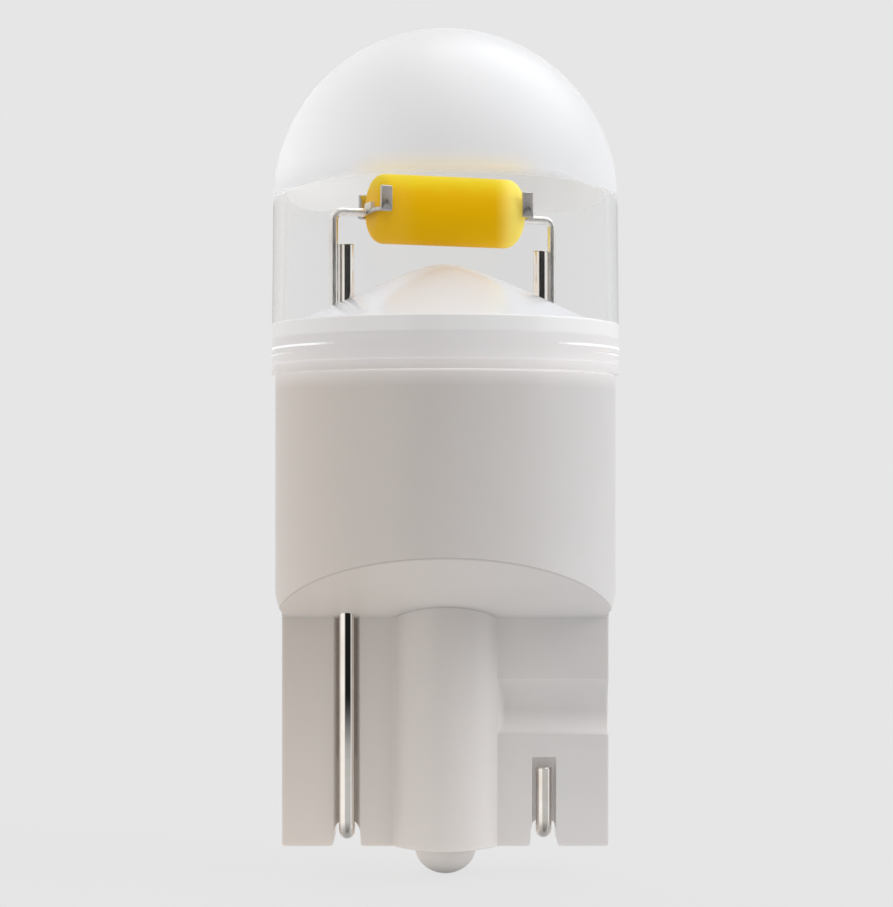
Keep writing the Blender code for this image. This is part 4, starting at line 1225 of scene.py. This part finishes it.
@dataclass
class LightSource:
    """Phosphor body held by a folded clip at each end, on two thin lead wires."""

    centre_z: float = 19.5 * MM
    yaw: float = math.radians(19.67)
    length: float = 4.56 * MM
    radius: float = 1.015 * MM
    end_length: float = 0.4 * MM
    end_depth: float = 0.45 * MM
    clip_spacing: float = 4.34 * MM
    plate_width: float = 0.345 * MM
    plate_height: float = 0.745 * MM
    plate_rise: float = 0.17 * MM
    clip_thickness: float = 0.1 * MM
    band_height: float = 0.12 * MM
    band_drop: float = 0.13 * MM
    end_reach: float = 0.23 * MM
    clip_corner: float = 0.28 * MM
    seat: float = 0.03 * MM
    lead_radius: float = 0.13 * MM
    lead_reach: float = 3.41 * MM
    lead_bend: float = 0.25 * MM
    lead_step: float = 0.4 * MM
    lead_straight: float = 3.4 * MM
    pad_radius: float = 3.02 * MM
    pad_turn: float = math.radians(24.0)
    board_top_z: float = 13.53 * MM
    solder_height: float = 0.35 * MM
    lead_end_z: float = 12.68 * MM

    def capsule(self) -> Shell:
        """Phosphor body: a turned profile with oval end corners, laid along the source's axis.

        Returns:
            The closed skin, turned to the source's direction.
        """
        half, shoulder = self.length / 2.0, self.length / 2.0 - self.end_length
        flat = self.radius - self.end_depth
        turn = np.linspace(0.0, math.pi / 2.0, 12)
        end_r = flat + self.end_depth * np.sin(turn)
        end_x = shoulder + self.end_length * np.cos(turn)
        middle = np.linspace(shoulder, -shoulder, 26)[1:-1]
        radii = np.concatenate(((0.0,), end_r, np.full(len(middle), self.radius), end_r[::-1], (0.0,)))
        along = np.concatenate(((half,), end_x, middle, -end_x[::-1], (-half,)))
        points, faces = turned_shell(radii, along, 96)
        laid = points[:, (2, 1, 0)] * (1.0, 1.0, -1.0)
        return placed((laid, faces), self.yaw, (0.0, 0.0, self.centre_z))

    def clip(self, turn: float) -> list[Shell]:
        """Clip at one end: a strip bent round the source's end, and an upright plate on each flank.

        Args:
            turn: turn about Z that puts the clip at its end.

        Returns:
            The skins of the strip and of the two plates.
        """
        side_y = self.radius + self.seat + self.clip_thickness / 2.0
        plate_x = -self.clip_spacing / 2.0
        end_x = plate_x - self.end_reach
        level = self.centre_z - self.band_drop
        corners = [(plate_x, side_y, level), (end_x, side_y, level), (end_x, -side_y, level),
                   (plate_x, -side_y, level)]
        section = rounded_box_outline(self.clip_thickness, self.band_height, 0.02 * MM)
        strip = carried_shell(rounded_route(corners, self.clip_corner, 10), section[:, ::-1], (0.0, 0.0, 1.0),
                              cut_ends(self.clip_thickness / 2.0, 0.01 * MM))
        outline = rounded_box_outline(self.plate_width, self.plate_height, 0.05 * MM)
        points, faces = slab_shell(outline, self.clip_thickness, 0.045 * MM)
        upright = points[:, (0, 2, 1)] * (1.0, -1.0, 1.0)
        plates = [(upright + (plate_x, sign * side_y, self.centre_z + self.plate_rise), faces)
                  for sign in (-1.0, 1.0)]
        return [placed(skin, self.yaw + turn) for skin in [strip] + plates]

    def lead(self) -> Shell:
        """Left lead wire: out from the clip, down through the reflector, across to the board and through it.

        Returns:
            The closed skin.
        """
        along = np.array((-math.cos(self.yaw), -math.sin(self.yaw)))
        pad_angle = self.yaw + self.pad_turn
        pad = -self.pad_radius * np.array((math.cos(pad_angle), math.sin(pad_angle)))
        level = self.centre_z - self.band_drop
        clip_end = self.clip_spacing / 2.0 + self.end_reach + self.clip_thickness / 2.0 + self.seat
        elbow = along * self.lead_reach
        step_z = level - self.lead_straight
        pad_z = self.board_top_z + self.solder_height + self.lead_step
        upper = rounded_route([(*(along * clip_end), level), (*elbow, level), (*elbow, step_z)],
                              self.lead_bend)
        lower = rounded_route([(*elbow, level - 2.0 * self.lead_bend), (*elbow, step_z), (*pad, pad_z),
                               (*pad, self.lead_end_z)], self.lead_step)
        side = (-math.sin(self.yaw), math.cos(self.yaw), 0.0)
        route = np.concatenate((upper[:-1], lower[1:]))
        return carried_shell(route, round_section(self.lead_radius, 28), side,
                             cut_ends(self.lead_radius, 0.02 * MM))

    def build(self) -> None:
        """Make the phosphor body, the clips and the lead wires."""
        # The fourth colour, FFEE7C, is the painted highlight of the right end.
        silicone = PhosphorSilicone("cast_phosphor_silicone", "EFD320", "F2BA00", "F4BE06", "FFEE7C",
                                    self.centre_z - self.radius, self.centre_z + self.radius)
        make_piece("phosphor_body", [self.capsule()], silicone.build(), ("phosphor_capsule",))
        steel, tinned = CLIP_STEEL.build(), LEAD_PLATE.build()
        lead = self.lead()
        for side, turn in SIDES:
            make_piece(f"clip_{side}", self.clip(turn), steel, (f"end_clip_{side}",))
            make_piece(f"lead_{side}", [placed(lead, turn)], tinned, (f"lead_wire_{side}",))


@dataclass
class DriverElectronics:
    """CAD nodes that stay as they are, inside the housing and the phosphor, each with its own finish."""

    finishes: dict[str, Finish] = field(default_factory=lambda: {
        "led_substrate": ALUMINA, "led_chip_1": SAPPHIRE, "led_chip_2": SAPPHIRE, "led_chip_3": SAPPHIRE,
        "led_chip_4": SAPPHIRE, "driver_board": MASK, "driver_chip": EPOXY, "bridge_rectifier": EPOXY,
        "filter_capacitor": ALUMINA, "surge_diode": EPOXY, "sense_resistor_1": EPOXY,
        "sense_resistor_2": EPOXY, "contact_solder_left": TIN, "contact_solder_right": TIN,
        "lead_solder_left": TIN, "lead_solder_right": TIN})

    def build(self) -> None:
        """Dress the nodes, with one material for each finish."""
        made = {finish: finish.build() for finish in dict.fromkeys(self.finishes.values())}
        for name, finish in self.finishes.items():
            for part_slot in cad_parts[name].material_slots:
                part_slot.material = made[finish]
            LOG.info("%s: %s", name, finish.name)


@dataclass
class Studio:
    """Pale floor, soft light that is dimmer from the front, and the camera.

    A way is a direction, and a span gives the two values of a direction's share that a part fades between.
    """

    backdrop: float = 0.791
    level: float = 0.819
    from_back: float = 0.573
    from_above: float = 0.295
    from_left: float = 0.274
    warm: str = "FFFCFA"
    cool: str = "FBFDFF"
    lamp_way: tuple[float, float, float] = (0.814, -0.189, 0.549)
    lamp_edge: float = 0.9
    lamp_soft: float = 4.8
    high_way: tuple[float, float, float] = (0.435, 0.075, 0.898)
    high_edge: float = 0.7
    high_mirror: float = 2.4
    dark_way: tuple[float, float, float] = (0.358, -0.934, 0.0)
    dark_span: tuple[float, float] = (0.62, 0.8)
    dark_top: tuple[float, float] = (0.6, 0.95)
    floor_line: tuple[float, float] = (-0.157, -0.12)
    back_wall: tuple[float, float] = (0.3, 0.9)
    below_span: tuple[float, float] = (-0.9, -0.2)
    mirror_bright: float = 1.0
    mirror_floor: float = 0.55
    mirror_dark: float = 0.012
    mirror_below: float = 0.4
    shadow: float = 0.09
    under_bounce: float = 0.233
    near_bounce: float = 1.134
    far_bounce: float = 0.574
    near_reach: float = 2.3 * MM
    far_span: tuple[float, float] = (6.0 * MM, 22.0 * MM)
    floor_reach: float = 20.0
    lens: float = 79.38
    camera_place: tuple[float, float, float] = (0.0000325, -0.059, 0.01236)

    def build(self) -> None:
        """Make the world, the floor and the camera."""
        self.light()
        self.floor()
        self.camera()

    def light(self) -> None:
        """World light: dull surfaces get the soft light, mirrors see the room, and the camera the backdrop.

        The light is tinted from warm on the left to cool on the right. What the camera sees through clear
        plastic is the backdrop too.
        """
        world = bpy.data.worlds.new("studio")
        bpy.context.scene.world = world
        world.use_nodes = True
        tree = world.node_tree
        tree.nodes.clear()
        direction = add_node(tree, "ShaderNodeTexCoord").outputs["Generated"]
        way = add_node(tree, "ShaderNodeSeparateXYZ", {"Vector": direction}).outputs
        across = add_node(tree, "ShaderNodeMapRange", {"Value": way["X"], "From": (-1.0, 1.0)})
        tint = add_node(tree, "ShaderNodeMix", {
            0: across, 6: linear(self.warm), 7: linear(self.cool)}, data_type="RGBA")
        soft = add_node(tree, "ShaderNodeBackground", {
            "Color": tint, "Strength": self.soft_light(tree, direction, way)})
        mirror = add_node(tree, "ShaderNodeBackground", {
            "Color": tint, "Strength": self.mirror_room(tree, direction, way)})
        plain = add_node(tree, "ShaderNodeBackground", {
            "Color": linear("FFFFFF"), "Strength": self.backdrop})
        path = add_node(tree, "ShaderNodeLightPath").outputs
        mirrored = add_node(tree, "ShaderNodeMath", {0: path["Glossy Depth"], 1: 1.0}, operation="MINIMUM")
        shiny = add_node(tree, "ShaderNodeMath", {
            0: path["Is Glossy Ray"], 1: path["Is Transmission Ray"]}, operation="MAXIMUM")
        by_mirror = add_node(tree, "ShaderNodeMath", {0: shiny, 1: mirrored}, operation="MULTIPLY")
        straight = add_node(tree, "ShaderNodeMath", {
            0: path["Is Transmission Ray"], 1: mirrored}, operation="SUBTRACT")
        seen = add_node(tree, "ShaderNodeMath", {
            0: path["Is Camera Ray"], 1: straight}, operation="MAXIMUM")
        lit = add_node(tree, "ShaderNodeMixShader", {0: by_mirror, 1: soft, 2: mirror})
        shown = add_node(tree, "ShaderNodeMixShader", {0: seen, 1: lit, 2: plain})
        add_node(tree, "ShaderNodeOutputWorld", {"Surface": shown})

    def soft_light(self, tree: bpy.types.NodeTree, direction: bpy.types.NodeSocket,
                   way: Any) -> bpy.types.Node:
        """Strength of the soft light from each direction.

        It is level x (1 + back share x y + above share x z - left share x x + lamp), where the lamp is a wide
        soft spot at the upper right.

        Args:
            tree: the world's nodes.
            direction: the direction looked at.
            way: its separate parts.

        Returns:
            Node of the strength.
        """
        toward = add_node(tree, "ShaderNodeVectorMath", {
            0: direction, 1: self.lamp_way}, operation="DOT_PRODUCT")
        lamp = add_node(tree, "ShaderNodeMapRange", {
            "Value": toward, "From": (self.lamp_edge, 1.0)}, interpolation_type="SMOOTHSTEP")
        share: Any = 1.0
        for value, weight in ((way["Y"], self.from_back), (way["Z"], self.from_above), (lamp, self.lamp_soft),
                              (way["X"], -self.from_left)):
            share = add_node(tree, "ShaderNodeMath", {
                0: value, 1: weight, 2: share}, operation="MULTIPLY_ADD")
        return add_node(tree, "ShaderNodeMath", {0: share, 1: self.level}, operation="MULTIPLY")

    def mirror_room(self, tree: bpy.types.NodeTree, direction: bpy.types.NodeSocket,
                    way: Any) -> bpy.types.Node:
        """Strength of what mirrors see: bright walls, and a dark front between the floor and a high lamp.

        Args:
            tree: the world's nodes.
            direction: the direction looked at.
            way: its separate parts.

        Returns:
            Node of the strength.
        """
        flat = add_node(tree, "ShaderNodeCombineXYZ", {"X": way["X"], "Y": way["Y"]})
        level_way = add_node(tree, "ShaderNodeVectorMath", {0: flat}, operation="NORMALIZE")
        facing = add_node(tree, "ShaderNodeVectorMath", {
            0: level_way, 1: self.dark_way}, operation="DOT_PRODUCT")
        front = add_node(tree, "ShaderNodeMapRange", {
            "Value": facing, "From": self.dark_span}, interpolation_type="SMOOTHSTEP")
        over_floor = add_node(tree, "ShaderNodeMapRange", {
            "Value": way["Z"], "From": self.floor_line}, interpolation_type="SMOOTHSTEP")
        under_lamp = add_node(tree, "ShaderNodeMapRange", {
            "Value": way["Z"], "From": self.dark_top, "To": (1.0, 0.0)}, interpolation_type="SMOOTHSTEP")
        dark = add_node(tree, "ShaderNodeMath", {0: front, 1: under_lamp}, operation="MULTIPLY")
        bright = add_node(tree, "ShaderNodeMapRange", {
            "Value": way["Y"], "From": self.back_wall, "To": (self.mirror_bright, self.backdrop)})
        ground = add_node(tree, "ShaderNodeMapRange", {"Value": front, "To": (bright, self.mirror_floor)})
        room = add_node(tree, "ShaderNodeMapRange", {"Value": dark, "To": (bright, self.mirror_dark)})
        walls = add_node(tree, "ShaderNodeMapRange", {"Value": over_floor, "To": (ground, room)})
        below = add_node(tree, "ShaderNodeMapRange", {
            "Value": way["Z"], "From": self.below_span, "To": (self.mirror_below, 1.0)})
        based = add_node(tree, "ShaderNodeMath", {0: walls, 1: below}, operation="MULTIPLY")
        overhead = add_node(tree, "ShaderNodeVectorMath", {
            0: direction, 1: self.high_way}, operation="DOT_PRODUCT")
        high_lamp = add_node(tree, "ShaderNodeMapRange", {
            "Value": overhead, "From": (self.high_edge, 1.0), "To Max": self.high_mirror},
            interpolation_type="SMOOTHSTEP")
        return add_node(tree, "ShaderNodeMath", {0: high_lamp, 1: based})

    def light_from_above(self) -> Points:
        """Light that the open floor gets: the soft light times z, summed over a grid of sky directions.

        Returns:
            Red, green and blue, where 1 is what an even sky of strength 1 gives.
        """
        rise = (np.arange(180) + 0.5) / 180.0
        turn = (np.arange(360) + 0.5) / 180.0 * math.pi
        z, around = np.meshgrid(rise, turn, indexing="ij")
        flat = np.sqrt(1.0 - z * z)
        x, y = flat * np.cos(around), flat * np.sin(around)
        toward = x * self.lamp_way[0] + y * self.lamp_way[1] + z * self.lamp_way[2]
        lamp = smooth_step(toward, self.lamp_edge, 1.0)
        strength = self.level * (1.0 + self.from_back * y + self.from_above * z + self.lamp_soft * lamp
                                 - self.from_left * x)
        warm, cool = np.array(linear(self.warm))[:3], np.array(linear(self.cool))[:3]
        tint = warm + (cool - warm) * ((x + 1.0) / 2.0)[..., None]
        return 2.0 * (strength[..., None] * tint * z[..., None]).mean(axis=(0, 1))

    def floor(self) -> None:
        """Large flat floor that matches the backdrop and keeps a share of the object's shadow.

        The light that it throws back up is strongest beside the bulb's foot, and dimmer under the foot and
        far away.
        """
        data = bpy.data.meshes.new("floor")
        corners = np.array(((-1, -1, 0), (1, -1, 0), (1, 1, 0), (-1, 1, 0)), float) * self.floor_reach
        data.from_pydata(corners.tolist(), [], [(0, 1, 2, 3)])
        floor = bpy.data.objects.new("floor", data)
        bpy.context.scene.collection.objects.link(floor)
        floor.visible_glossy = False
        material = bpy.data.materials.new("pale_floor")
        material.use_nodes = True
        tree = material.node_tree
        tree.nodes.clear()
        albedo = self.backdrop / self.light_from_above()
        diffuse = add_node(tree, "ShaderNodeBsdfDiffuse", {
            "Color": (*np.minimum(albedo, 1.0).tolist(), 1.0)})
        even = add_node(tree, "ShaderNodeEmission", {"Color": linear("FFFFFF"), "Strength": self.backdrop})
        shown = add_node(tree, "ShaderNodeMixShader", {0: 1.0 - self.shadow, 1: diffuse, 2: even})
        place = add_node(tree, "ShaderNodeTexCoord").outputs["Object"]
        away = add_node(tree, "ShaderNodeVectorMath", {0: place}, operation="LENGTH")
        near = add_node(tree, "ShaderNodeMapRange", {
            "Value": away, "From": (0.0, self.near_reach), "To": (self.under_bounce, self.near_bounce)},
            interpolation_type="SMOOTHSTEP")
        dimmed = add_node(tree, "ShaderNodeMapRange", {
            "Value": away, "From": self.far_span, "To": (near, self.far_bounce)},
            interpolation_type="SMOOTHSTEP")
        bounced = add_node(tree, "ShaderNodeEmission", {"Color": linear("FFFFFF"), "Strength": dimmed})
        path = add_node(tree, "ShaderNodeLightPath")
        mixed = add_node(tree, "ShaderNodeMixShader", {
            0: path.outputs["Is Camera Ray"], 1: bounced, 2: shown})
        add_node(tree, "ShaderNodeOutputMaterial", {"Surface": mixed})
        data.materials.append(material)

    def camera(self) -> None:
        """Level camera in front of the bulb."""
        data = bpy.data.cameras.new("camera")
        data.lens = self.lens
        data.clip_start = MM
        data.clip_end = 100.0
        camera = bpy.data.objects.new("camera", data)
        camera.location = self.camera_place
        camera.rotation_euler = (math.pi / 2.0, 0.0, 0.0)
        bpy.context.scene.collection.objects.link(camera)
        bpy.context.scene.camera = camera


def main() -> None:
    """Build the studio and every sub-assembly."""
    logging.basicConfig(level=logging.INFO, format="%(name)s: %(message)s")
    bpy.context.scene.view_settings.view_transform = "Standard"
    Studio().build()
    housing = WedgeHousing()
    housing.build()
    bell = ReflectorBell(base_z=housing.neck_top_z)
    bell.build()
    SnapCap(base_z=housing.shoulder_z + 0.005 * MM).build()
    ContactWires(foot_z=housing.foot_z, top_z=bell.base_z + bell.flange + 2.27 * MM).build()
    LightSource().build()
    DriverElectronics().build()


if __name__ == "__main__":
    main()
